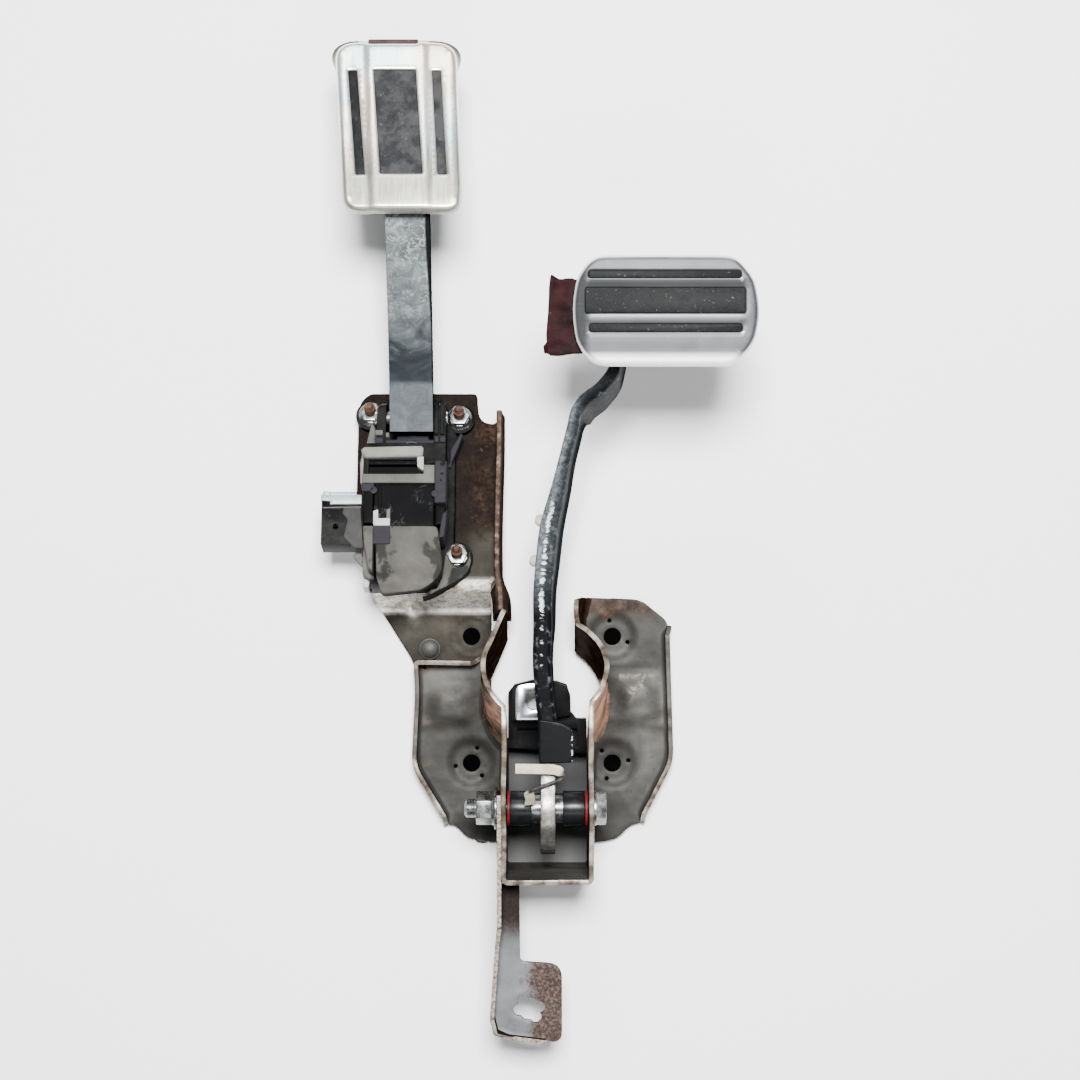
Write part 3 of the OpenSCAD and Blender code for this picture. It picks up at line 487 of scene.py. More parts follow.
def soften(pts, length, seg=5, closed=True):
    """Rounds each corner of a polygon over the given length along its edges."""
    pts = [np.asarray(p, float) for p in pts]
    n = len(pts)
    ls = length if hasattr(length, "__len__") else [length] * n
    out = []
    for i, p in enumerate(pts):
        if not closed and i in (0, n - 1):
            out.append(p)
            continue
        if ls[i] <= 0:
            out.append(p)
            continue
        q, r = pts[i - 1], pts[(i + 1) % n]
        la = min(ls[i], 0.48 * np.linalg.norm(q - p))
        lb = min(ls[i], 0.48 * np.linalg.norm(r - p))
        a, b = p + unit(q - p) * la, p + unit(r - p) * lb
        for k in range(seg + 1):
            t = k / seg
            out.append((1 - t) ** 2 * a + 2 * t * (1 - t) * p + t * t * b)
    return np.array(out)


def resample(loop, step, closed=True):
    out = []
    n = len(loop)
    for i in range(n if closed else n - 1):
        a, b = loop[i], loop[(i + 1) % n]
        k = max(1, int(math.ceil(np.linalg.norm(b - a) / step)))
        for j in range(k):
            out.append(a + (b - a) * j / k)
    if not closed:
        out.append(loop[-1])
    out = np.array(out)
    keep = [0]
    for i in range(1, len(out)):
        if np.linalg.norm(out[i] - out[keep[-1]]) > 1e-4:
            keep.append(i)
    if closed and np.linalg.norm(out[keep[-1]] - out[0]) < 1e-4:
        keep.pop()
    return out[keep]


def normals_out(loop):
    d = np.roll(loop, -1, 0) - np.roll(loop, 1, 0)
    return unit(np.c_[d[:, 1], -d[:, 0]])


def area2(loop):
    x, y = loop[:, 0], loop[:, 1]
    return 0.5 * np.sum(x * np.roll(y, -1) - np.roll(x, -1) * y)


def ccw(loop):
    return loop if area2(loop) > 0 else loop[::-1]


def inside(P, loop):
    P = np.asarray(P, float)
    x, y = P[:, 0], P[:, 1]
    res = np.zeros(len(P), bool)
    n = len(loop)
    for i in range(n):
        x0, y0 = loop[i]
        x1, y1 = loop[(i + 1) % n]
        c = (y0 > y) != (y1 > y)
        if not c.any():
            continue
        xi = (x1 - x0) * (y - y0) / (y1 - y0 + 1e-30) + x0
        res ^= c & (x < xi)
    return res


def dist_loop(P, loop):
    P = np.asarray(P, float)
    best = np.full(len(P), 1e9)
    for i in range(len(loop)):
        a, b = loop[i], loop[(i + 1) % len(loop)]
        d = b - a
        t = np.clip(((P - a) @ d) / max(d @ d, 1e-12), 0, 1)
        q = P - (a + t[:, None] * d)
        best = np.minimum(best, np.einsum("ij,ij->i", q, q))
    return np.sqrt(best)


def circle(cx, cy, r, n=28):
    a = np.arange(n) * math.tau / n
    return np.c_[cx + r * np.cos(a), cy + r * np.sin(a)]


def slot_loop(cx, cy, w, h, r, seg=4, step=2.5):
    pts = [(cx - w / 2, cy - h / 2), (cx + w / 2, cy - h / 2), (cx + w / 2, cy + h / 2), (cx - w / 2, cy + h / 2)]
    return resample(soften(pts, r, seg), step)


def fill(outer, holes, step, guides=()):
    """Even triangles between an outer loop and holes. Returns points, triangles and the index of each loop's points."""
    pts, edges, groups = [], [], []

    def add(loop):
        i0, n = len(pts), len(loop)
        pts.extend([tuple(p) for p in loop])
        edges.extend([(i0 + k, i0 + (k + 1) % n) for k in range(n)])
        groups.append((i0, n))

    add(outer)
    for h in holes:
        add(h)
    for g in guides:
        add(g)
    lo, hi = outer.min(0), outer.max(0)
    P, row = [], 0
    y = lo[1] + step * 0.5
    while y < hi[1]:
        xs = np.arange(lo[0] + step * (0.5 if row % 2 else 0.0), hi[0], step)
        P.append(np.c_[xs, np.full(len(xs), y)])
        y += step * 0.87
        row += 1
    P = np.concatenate(P) if P else np.zeros((0, 2))
    P = P[inside(P, outer)]
    P = P[dist_loop(P, outer) > 0.55 * step]
    for h in list(holes) + list(guides):
        P = P[dist_loop(P, h) > 0.45 * step]
    for h in holes:
        P = P[~inside(P, h)]
    pts.extend([tuple(p) for p in P])
    res = delaunay_2d_cdt([Vector(p) for p in pts], edges, [], 0, 1e-7)
    v = np.array([(a.x, a.y) for a in res[0]])
    tri = np.array([f for f in res[2] if len(f) == 3], int)
    c = v[tri].mean(1)
    keep = inside(c, outer)
    for h in holes:
        keep &= ~inside(c, h)
    tri = tri[keep]
    a, b, d = v[tri[:, 0]], v[tri[:, 1]], v[tri[:, 2]]
    flip = ((b - a)[:, 0] * (d - a)[:, 1] - (b - a)[:, 1] * (d - a)[:, 0]) < 0
    tri[flip] = tri[flip][:, ::-1]
    back = {}
    for new, olds in enumerate(res[3]):
        for o in olds:
            back[o] = new
    idx = [np.array([back[i0 + k] for k in range(n)]) for i0, n in groups]
    return v, tri, idx


def drop_loose(V, F, attrs):
    used = np.zeros(len(V), bool)
    for f in F:
        used[list(f)] = True
    new = np.cumsum(used) - 1
    return V[used], [[int(new[i]) for i in f] for f in F], {k: np.asarray(a)[used] for k, a in attrs.items()}


def make(name, V, F, mat, body, nodes=(), attrs=None, angle=38.0, solid=0.0, bevel=0.0, subdiv=0, offset=-1.0):
    """A piece from millimetre points, with its thickness, bevels and shading made final."""
    V = np.asarray(V, float)
    attrs = attrs or {}
    V, F, attrs = drop_loose(V, F, attrs)
    me = bpy.data.meshes.new(name)
    me.from_pydata((V * MM).tolist(), [], F)
    for k, a in attrs.items():
        at = me.attributes.new(k, "FLOAT", "POINT")
        at.data.foreach_set("value", np.asarray(a, np.float32))
    me.update()
    ob = bpy.data.objects.new(name, me)
    bpy.context.scene.collection.objects.link(ob)
    if subdiv:
        s = ob.modifiers.new("s", "SUBSURF")
        s.levels = s.render_levels = subdiv
    if solid:
        s = ob.modifiers.new("t", "SOLIDIFY")
        s.thickness = solid * MM
        s.offset = offset
        s.use_even_offset = False
        s.use_quality_normals = True
    if bevel:
        b = ob.modifiers.new("b", "BEVEL")
        b.width = bevel * MM
        b.segments = 2
        b.limit_method = "ANGLE"
        b.angle_limit = math.radians(40)
        b.use_clamp_overlap = True
    if ob.modifiers:
        dg = bpy.context.evaluated_depsgraph_get()
        fin = bpy.data.meshes.new_from_object(ob.evaluated_get(dg), preserve_all_data_layers=True, depsgraph=dg)
        ob.modifiers.clear()
        ob.data = fin
        bpy.data.meshes.remove(me)
        me = fin
    dress(ob, mat, angle)
    place(ob, body, nodes)
    return ob


def dress(ob, mat, angle=38.0):
    me = ob.data
    bm = bmesh.new()
    bm.from_mesh(me)
    bmesh.ops.remove_doubles(bm, verts=bm.verts, dist=1e-7)
    bmesh.ops.dissolve_degenerate(bm, edges=bm.edges, dist=1e-8)
    bmesh.ops.recalc_face_normals(bm, faces=bm.faces)
    lim = math.radians(angle)
    for f in bm.faces:
        f.smooth = True
        f.material_index = 0
    for e in bm.edges:
        e.smooth = not (len(e.link_faces) == 2 and e.calc_face_angle(0.0) > lim)
    bm.to_mesh(me)
    bm.free()
    me.materials.clear()
    me.materials.append(mat)
    me.update()


def place(ob, body, nodes=()):
    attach(ob, body)
    if nodes:
        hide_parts(*nodes)


def skin(node, mat, body, bevel=0.35, seg=2, angle=38.0, name=None, attrs=None, cut=0.0):
    """The outside of one CAD node, cleaned, with softened edges. The CAD node itself stays as it is."""
    src = NODES[node].data
    bm = bmesh.new()
    bm.from_mesh(src)
    bmesh.ops.remove_doubles(bm, verts=bm.verts, dist=2e-6)
    bmesh.ops.recalc_face_normals(bm, faces=bm.faces)
    bmesh.ops.dissolve_limit(bm, angle_limit=math.radians(1.2), verts=bm.verts, edges=bm.edges, delimit={"NORMAL"})
    if bevel:
        es = [e for e in bm.edges if len(e.link_faces) == 2 and e.calc_face_angle(0.0) > math.radians(35) and e.calc_length() > 0.00025]
        bmesh.ops.bevel(bm, geom=es, offset=bevel * MM, offset_type="OFFSET", segments=seg, profile=0.5, affect="EDGES", clamp_overlap=True)
    if cut:
        bmesh.ops.triangulate(bm, faces=bm.faces)
        for _ in range(6):
            long = [e for e in bm.edges if e.calc_length() > cut * MM]
            if not long:
                break
            bmesh.ops.subdivide_edges(bm, edges=long, cuts=1, use_grid_fill=False)
            bmesh.ops.triangulate(bm, faces=bm.faces)
    me = bpy.data.meshes.new(name or node + "_skin")
    bm.to_mesh(me)
    bm.free()
    if attrs:
        co = np.array([v.co for v in me.vertices], float).reshape(-1, 3) / MM
        me.update()
        nn = np.array([v.normal for v in me.vertices], float).reshape(-1, 3)
        for k, f in attrs.items():
            at = me.attributes.new(k, "FLOAT", "POINT")
            at.data.foreach_set("value", np.asarray(f(co, nn), np.float32))
    ob = bpy.data.objects.new(name or node + "_skin", me)
    bpy.context.scene.collection.objects.link(ob)
    dress(ob, mat, angle)
    place(ob, body, (node,))
    return ob


def formed(outline, rimw, rim_h, holes, zfun, step, thick, bend=2.5, collars=None, guides=(), rim_lean=0.0):
    """A pressed sheet: filled outline with holes, and an upturned rim where rimw is above 0. Returns points, faces, and masks of the rim."""
    n = len(outline)
    nrm = normals_out(outline)
    w = np.asarray(rimw, float)
    h = np.full(n, rim_h, float) if np.isscalar(rim_h) else np.asarray(rim_h, float)
    base = outline - nrm * (bend + thick) * w[:, None]
    v2, tri, idx = fill(base, holes, step, guides)
    V = [np.c_[v2, zfun(v2[:, 0], v2[:, 1])]]
    F = [list(t) for t in tri]
    rimtop = [np.zeros(len(v2))]
    count = len(v2)
    z0 = zfun(base[:, 0], base[:, 1])
    prof = [(bend * math.sin(a), bend * (1 - math.cos(a))) for a in np.radians([22.5, 45, 67.5, 90])]
    on = w > 0.02
    prev = idx[0]
    for k in range(len(prof) + 4):
        if k < len(prof):
            o = np.full(n, prof[k][0])
            u = np.full(n, prof[k][1])
            t = 0.0
        else:
            s = (k - len(prof) + 1) / 4.0
            o = np.full(n, bend) + rim_lean * s
            u = bend + (h - bend) * (0.0 + (s if s < 1 else 1.0))
            t = 1.0 if s >= 1 else (0.25 if s > 0.7 else 0.0)
        pos = base + nrm * (o * w)[:, None]
        cur = np.full(n, -1)
        cur[on] = count + np.arange(on.sum())
        V.append(np.c_[pos[on], z0[on] + (u * w)[on]])
        rimtop.append(np.full(on.sum(), t))
        count += int(on.sum())
        for i in range(n):
            j = (i + 1) % n
            if on[i] and on[j]:
                F.append([prev[i], cur[i], cur[j], prev[j]])
        prev = cur
    for hi, rings in (collars or {}).items():
        loop = holes[hi]
        inn = -normals_out(loop)
        a = idx[1 + hi]
        zb = zfun(loop[:, 0], loop[:, 1])
        m = len(loop)
        for off, dz in rings:
            V.append(np.c_[loop + inn * off, zb + dz])
            rimtop.append(np.zeros(m))
            b = count + np.arange(m)
            count += m
            for i in range(m):
                j = (i + 1) % m
                F.append([a[i], a[j], b[j], b[i]])
            a = b
    return np.concatenate(V), F, np.concatenate(rimtop)


def grid_faces(nu, nv, loop_u=False, loop_v=False, base=0):
    F = []
    for i in range(nu if loop_u else nu - 1):
        for j in range(nv if loop_v else nv - 1):
            a = i * nv + j
            b = i * nv + (j + 1) % nv
            c = ((i + 1) % nu) * nv + (j + 1) % nv
            d = ((i + 1) % nu) * nv + j
            F.append([base + a, base + b, base + c, base + d])
    return F


def loft(sections, caps=True):
    """Closed sections (k, m, 3) joined into one closed solid."""
    S = np.asarray(sections, float)
    k, m = S.shape[:2]
    V = S.reshape(-1, 3)
    F = grid_faces(k, m, False, True)
    if caps:
        F.append(list(range(m))[::-1])
        F.append([(k - 1) * m + i for i in range(m)])
    return V, F


def catmull(P, per):
    P = np.asarray(P, float)
    ext = np.vstack([2 * P[0] - P[1], P, 2 * P[-1] - P[-2]])
    out = []
    for i in range(1, len(ext) - 2):
        p0, p1, p2, p3 = ext[i - 1], ext[i], ext[i + 1], ext[i + 2]
        for j in range(per):
            t = j / per
            out.append(0.5 * (2 * p1 + (p2 - p0) * t + (2 * p0 - 5 * p1 + 4 * p2 - p3) * t * t + (3 * p1 - p0 - 3 * p2 + p3) * t ** 3))
    out.append(P[-1])
    return np.array(out)


def round_rect(w, h, r, seg=4):
    """Corner-rounded rectangle centred on 0, as a closed loop."""
    pts = []
    for cx, cy, a0 in ((w / 2 - r, h / 2 - r, 0), (-w / 2 + r, h / 2 - r, 90), (-w / 2 + r, -h / 2 + r, 180), (w / 2 - r, -h / 2 + r, 270)):
        for k in range(seg + 1):
            a = math.radians(a0 + 90 * k / seg)
            pts.append((cx + r * math.cos(a), cy + r * math.sin(a)))
    return np.array(pts)


def spun(prof, axis_o, axis_d, n=40):
    """Solid of revolution: prof is (along, radius) pairs from axis_o along axis_d."""
    d = unit(np.asarray(axis_d, float))
    u = unit(np.cross(d, [0.3, 0.9, 0.2]))
    w = np.cross(d, u)
    a = np.arange(n) * math.tau / n
    ring = np.cos(a)[:, None] * u + np.sin(a)[:, None] * w
    S = [np.asarray(axis_o, float) + d * t + ring * r for t, r in prof]
    return loft(S)


def threaded(axis_o, axis_d, t0, t1, r, pitch, depth, n=36, per=8, chamfer=1.2):
    """A bar with a helical thread."""
    d = unit(np.asarray(axis_d, float))
    u = unit(np.cross(d, [0.3, 0.9, 0.2]))
    w = np.cross(d, u)
    a = np.arange(n) * math.tau / n
    k = int((t1 - t0) / pitch * per) + 1
    S = []
    for i in range(k):
        t = t0 + (t1 - t0) * i / (k - 1)
        ph = (t / pitch - a / math.tau) % 1.0
        tri = np.abs(ph * 2 - 1)
        rr = r - depth * (1 - smooth01(tri * 1.4))
        end = min(1.0, (t1 - t) / chamfer)
        rr = rr * (0.72 + 0.28 * end)
        S.append(np.asarray(axis_o, float) + d * t + (np.cos(a) * rr)[:, None] * u + (np.sin(a) * rr)[:, None] * w)
    return loft(S)


ACC_O = np.array([-75.0, 120.0, 17.894])
ACC_A = math.radians(16)
ACC_R = np.array([[1, 0, 0], [0, math.cos(ACC_A), math.sin(ACC_A)], [0, -math.sin(ACC_A), math.cos(ACC_A)]])


def acc(P):
    return np.asarray(P, float) @ ACC_R.T + ACC_O


def apad(P):
    """Accelerator pad: its long edges lean while its short edges stay level, as in the photo."""
    P = np.asarray(P, float)
    Q = np.c_[P[:, 0] * (1 + 0.014 * P[:, 1] / 49.0) - 0.040 * P[:, 1], P[:, 1], P[:, 2]]
    t = math.radians(15)
    R = np.array([[1, 0, 0], [0, math.cos(t), math.sin(t)], [0, -math.sin(t), math.cos(t)]])
    return Q @ R.T + np.array([-76.7, 313.0, 86.0])


def bpad(P):
    return np.asarray(P, float) + np.array([63.9, 208.9, 131.0])


# ---------------------------------------------------------------- main bracket

BC = np.array([1.5, -3.9])
LEAN = math.tan(math.radians(23.7))


def span_weights(loop, a, b, taper=5.0):
    """1 along the loop between the points nearest a and b (in loop order), easing off at both ends."""
    n = len(loop)
    i = int(np.argmin(np.linalg.norm(loop - np.asarray(a, float), axis=1)))
    j = int(np.argmin(np.linalg.norm(loop - np.asarray(b, float), axis=1)))
    w = np.zeros(n)
    run = [(i + k) % n for k in range(((j - i) % n) + 1)]
    d = np.r_[0, np.cumsum([np.linalg.norm(loop[run[k + 1]] - loop[run[k]]) for k in range(len(run) - 1)])]
    total = d[-1]
    for k, q in enumerate(run):
        w[q] = min(1.0, 0.06 + min(d[k], total - d[k]) / taper)
    return w


def arc(cx, cy, r, a0, a1, n):
    t = np.radians(np.linspace(a0, a1, n))
    return np.c_[cx + r * np.cos(t), cy + r * np.sin(t)]


def seat_dip(x, y, cx, cy):
    d = np.hypot(x - cx, y - cy)
    return -1.9 * smooth01((15.4 - d) / 5.8)


def panel(x, y, x0, x1, y0, y1, top=12.0, low=6.0):
    fx = smooth01((x - x0) / 11.0) * smooth01((x1 - x) / 11.0)
    fy = smooth01((y - y0) / low) * smooth01((y1 - y) / top)
    return fx * fy


def flange_holes(cx, cy, turn):
    out = [circle(cx, cy, 5.0, 32)]
    for k in range(3):
        a = math.radians(turn + 120 * k)
        out.append(circle(cx + 9.2 * math.cos(a), cy + 9.2 * math.sin(a), 1.25, 12))
    return out


def build_flange(side):
    cy5 = BC[1] + 5 * LEAN
    if side == "left":
        inner = arc(BC[0], cy5, 33.5, 228.95, 147.7, 22)
        pts = np.vstack([
            soften([(-20.5, -80.6)], 0, 1), inner, [(-26.8, 22.6)],
            soften([(-38, 22.6), (-72.6, 23.2), (-71.5, 5.7), (-73.6, -36.9), (-53.2, -70.8), (-49, -71), (-42.5, -78.3), (-27, -80.6)],
                   [0, 4, 6, 7, 1.5, 4, 4, 0], 6)])
        rim = [((-34, 22.6), (-53.2, -70.8), 10.0)]
        seats = [((-40.0, -36.0), 70)]
        pan = (-66, -36, -14, 12)
    else:
        inner = arc(BC[0], cy5, 33.5, 56, -41.7, 26)
        pts = np.vstack([
            soften([(26.5, -80.6), (33, -80.6), (43.2, -78.3), (50, -71), (55.9, -69.6), (74.2, -34), (71.8, 44.5), (55.7, 57.2), (24.5, 58.2)],
                   [0, 4, 4, 4, 1.5, 7, 5, 5, 1.5], 6), inner])
        rim = [((55.9, -69.6), (71.8, 42.0), 9.6)]
        seats = [((40.0, 36.0), 100), ((40.0, -36.0), 130)]
        pan = (40, 69, -14, 14)
    loop = ccw(resample(pts, 2.2))
    a, b, hgt = rim[0]
    w = np.maximum(span_weights(loop, a, b), 0)
    w2 = span_weights(loop, b, a)
    if w.sum() > w2.sum() and side == "left":
        pass
    holes = []
    for c, turn in seats:
        holes += flange_holes(c[0], c[1], turn)

    def zf(x, y):
        z = np.full_like(np.asarray(x, float), 5.0)
        for c, _ in seats:
            z = z + seat_dip(x, y, c[0], c[1])
        z = z + 2.6 * panel(x, y, *pan)
        sgn = 1 if side == "right" else -1
        u = sgn * x
        # creases that run out from the panel, and the soft dent above it
        z = z + 0.9 * np.exp(-((y + 12.5 + 0.10 * (u - 52)) / 2.2) ** 2) * smooth01((u - 36) / 8)
        z = z - 0.7 * np.exp(-((y - 17.5) / 2.6) ** 2) * smooth01((u - 34) / 8) * smooth01((70 - u) / 6)
        z = z + 0.28 * wobble(x, y, 26, 11 if side == "left" else 12) + 0.10 * wobble(x, y, 9, 13)
        ring = sum(np.exp(-((np.hypot(x - c[0], y - c[1]) - 13.2) / 0.9) ** 2) for c, _ in seats)
        return z + 0.08 * ring

    V, F, top = formed(loop, w, hgt, holes, zf, 2.1, 2.5)
    x, y, z = V.T
    rust = np.zeros(len(V))
    if side == "right":
        rust = 0.55 * smooth01((y - 36) / 20) + 0.35 * smooth01((y - 48) / 8)
        rust = rust + 0.35 * np.exp(-(((x - 66) / 4) ** 2 + ((y + 12) / 4) ** 2))
    else:
        rust = 0.35 * smooth01((y - 12) / 9) + 0.22 * smooth01((-48 - x) / 20)
    wear = top * np.where(y < -33, 1.0, np.where((y > 19) & (x < 0), 0.7, 0.10 if side == "right" else 0.3))
    # painted highlight: a lighter line along the right flange's step edge and across its bump, and a faint patch on the
    # left panel
    if side == "right":
        sheen = 0.9 * np.exp(-((y - 13.0) / 0.9) ** 2) * smooth01((x - 40) / 6) * smooth01((66 - x) / 6)
        d = (x - 52) * 0.62 - (y - 3) * 0.78
        sheen = np.maximum(sheen, 0.75 * np.exp(-((d + 2) / 2.6) ** 2) * smooth01((x - 44) / 3) * smooth01((62 - x) / 3) * smooth01((y + 7) / 3) * smooth01((12 - y) / 3))
    else:
        sheen = 0.12 * np.exp(-(((x + 50) / 9) ** 2 + ((y - 4) / 5) ** 2))
    u = x if side == "right" else 6 - x
    # painted shade: darker next to the channel wall and towards the lower end
    shade = np.maximum(smooth01((57 - np.hypot(x - BC[0], y - BC[1])) / 13), smooth01((37 - u) / 10) * smooth01((-20 - y) / 12))
    shade = np.maximum(0.8 * shade, 0.62 * smooth01((-36 - y) / 18))
    return V, F, {"rust": rust, "wear": np.clip(wear, 0, 1), "sheen": np.clip(sheen, 0, 1), "tan": np.zeros(len(V)), "shade": shade}


def wall_columns():
    """Plan of the channel's outer face as a function of height, from the left mouth round the end to the right mouth."""
    cols = []
    for t in np.linspace(0, 1, 12)[:-1]:
        cols.append(("lt", t))
    for a in np.linspace(25, -47.8, 34):
        cols.append(("la", a))
    for t in np.linspace(0, 1, 30)[1:]:
        cols.append(("ls", t))
    for a in np.linspace(180, 270, 9)[1:]:
        cols.append(("lc", a))
    for t in np.linspace(0, 1, 16)[1:-1]:
        cols.append(("e", t))
    for a in np.linspace(270, 360, 9):
        cols.append(("rc", a))
    for t in np.linspace(1, 0, 30)[1:]:
        cols.append(("rs", t))
    for a in np.linspace(-40.8, 56.6, 40)[1:]:
        cols.append(("ra", a))
    for t in np.linspace(0, 1, 9)[1:]:
        cols.append(("rt", t))
    return cols


def wall_xy(col, z):
    k, p = col
    cy = BC[1] + z * LEAN
    R = 35.0
    if k == "lt":
        b = np.array([BC[0] - R * math.cos(math.radians(25)), cy + R * math.sin(math.radians(25))])
        return b + (1 - p) * 22.4 * np.array([0.387, 0.922])
    if k == "la":
        return np.array([BC[0] - R * math.cos(math.radians(p)), cy + R * math.sin(math.radians(p))])
    if k == "ls":
        y0 = cy - R * math.sin(math.radians(47.8))
        return np.array([-22.0, y0 + (-91 - y0) * p])
    if k == "lc":
        return np.array([-18 + 4 * math.cos(math.radians(p)), -91 + 4 * math.sin(math.radians(p))])
    if k == "e":
        return np.array([-18 + 42 * p, -95.0])
    if k == "rc":
        return np.array([24 + 4 * math.cos(math.radians(p)), -91 + 4 * math.sin(math.radians(p))])
    if k == "rs":
        y0 = cy - R * math.sin(math.radians(40.8))
        return np.array([28.0, y0 + (-91 - y0) * p])
    if k == "ra":
        return np.array([BC[0] + R * math.cos(math.radians(p)), cy + R * math.sin(math.radians(p))])
    a = np.array([BC[0] + R * math.cos(math.radians(56.6)), cy + R * math.sin(math.radians(56.6))])
    b = np.array([25.6 - (z - 5) * 0.17, 58.0])
    return a + (b - a) * p


def wall_top(x, y):
    if x < 0:
        return np.interp(y, [-95, -8, 8, 22, 34, 46, 58], [72, 72, 68, 61, 55, 51, 48])
    return np.interp(y, [-95, -8, 8, 22, 34, 46, 58], [72, 72, 68, 60, 52, 44, 37])


def build_wall():
    cols = wall_columns()
    rows = 26
    V = np.zeros((len(cols), rows, 3))
    f = np.r_[np.linspace(0, 1, 7)[:-1] * 0.07, np.linspace(0.07, 0.965, 16), [0.98, 0.99, 0.996, 1.0]]
    for i, c in enumerate(cols):
        zt = 60.0
        for _ in range(12):
            p = wall_xy(c, zt)
            zt = 0.5 * zt + 0.5 * float(wall_top(p[0], p[1]))
        p0 = wall_xy(c, 5)
        flare = smooth01((p0[1] + 84) / 5)
        zb = 2.7 if flare > 0.5 else 2.7
        for j in range(rows):
            z = zb + (zt - zb) * f[j]
            V[i, j, :2] = wall_xy(c, z)
            V[i, j, 2] = z
    T = np.gradient(V[:, :, :2], axis=0)
    T = unit(T)
    N = np.stack([T[:, :, 1], -T[:, :, 0]], -1)
    for i, c in enumerate(cols):
        p0 = wall_xy(c, 5)
        fl = smooth01((p0[1] + 84) / 5)
        for j in range(rows):
            z = V[i, j, 2]
            r = 3.0
            u = np.clip((z - 5.0) / r, 0, 1)
            off = r - math.sqrt(max(r * r - (r - u * r) ** 2, 0.0))
            V[i, j, :2] += N[i, j] * off * fl
            wob = 0.35 * wobble(np.array([i * 2.0]), np.array([z]), 30, 5)[0]
            V[i, j, :2] += N[i, j] * wob * smooth01((z - 8) / 20)
    P = V.reshape(-1, 3)
    F = grid_faces(len(cols), rows)
    # faces look outwards
    F = [f[::-1] for f in F]
    x, y, z = P.T
    fr = np.tile(f, len(cols))
    wear = np.where(fr > 0.9999, 1.0, np.where(fr > 0.994, 0.6, 0.0))
    bul = smooth01((y + 37) / 18) * smooth01((26 - y) / 14) * smooth01((z - 2) / 8)
    tan = np.where(x > 0, 0.95, 0.46) * bul
    rust = smooth01((y - 9) / 9) * np.where(x > 0, 1.0, 0.95)
    # painted shade: the bulge's walls are marked for darkening, beside their rust
    return P, F, {"wear": wear, "tan": np.clip(tan, 0, 1), "rust": np.clip(rust, 0, 1), "painted_bulge_shade": smooth01((y - 9) / 9)}


def merge(parts):
    V, F, A, n = [], [], {}, 0
    keys = sorted({k for p in parts for k in p[2]})
    for v, f, a in parts:
        V.append(v)
        F += [[i + n for i in q] for q in f]
        for k in keys:
            A.setdefault(k, []).append(a.get(k, np.zeros(len(v))))
        n += len(v)
    return np.concatenate(V), F, {k: np.concatenate(x) for k, x in A.items()}


lf = build_flange("left")
rf = build_flange("right")
V, F, A = merge([lf, rf])
make("main_bracket_flanges", V, F, M["steel"], "bracket", ("main_bracket",), A, solid=2.5, bevel=0.35)
V, F, A = build_wall()
make("main_bracket_channel", V, F, M["steel"], "bracket", ("main_bracket",), A, solid=2.6, bevel=0.5)

# ---------------------------------------------------------------- accelerator bracket

KNEE = soften([(174.0, 2.4), (65.2, 33.6), (50.0, 2.5), (2.0, 2.5)], [0, 6, 6, 0], 7, closed=False)
KS = np.r_[0, np.cumsum(np.linalg.norm(np.diff(KNEE, axis=0), axis=1))]


def s_of_y(y):
    return np.interp(-np.asarray(y, float), -KNEE[:, 0], KS)


def yz_of_s(s):
    return np.interp(s, KS, KNEE[:, 0]), np.interp(s, KS, KNEE[:, 1])


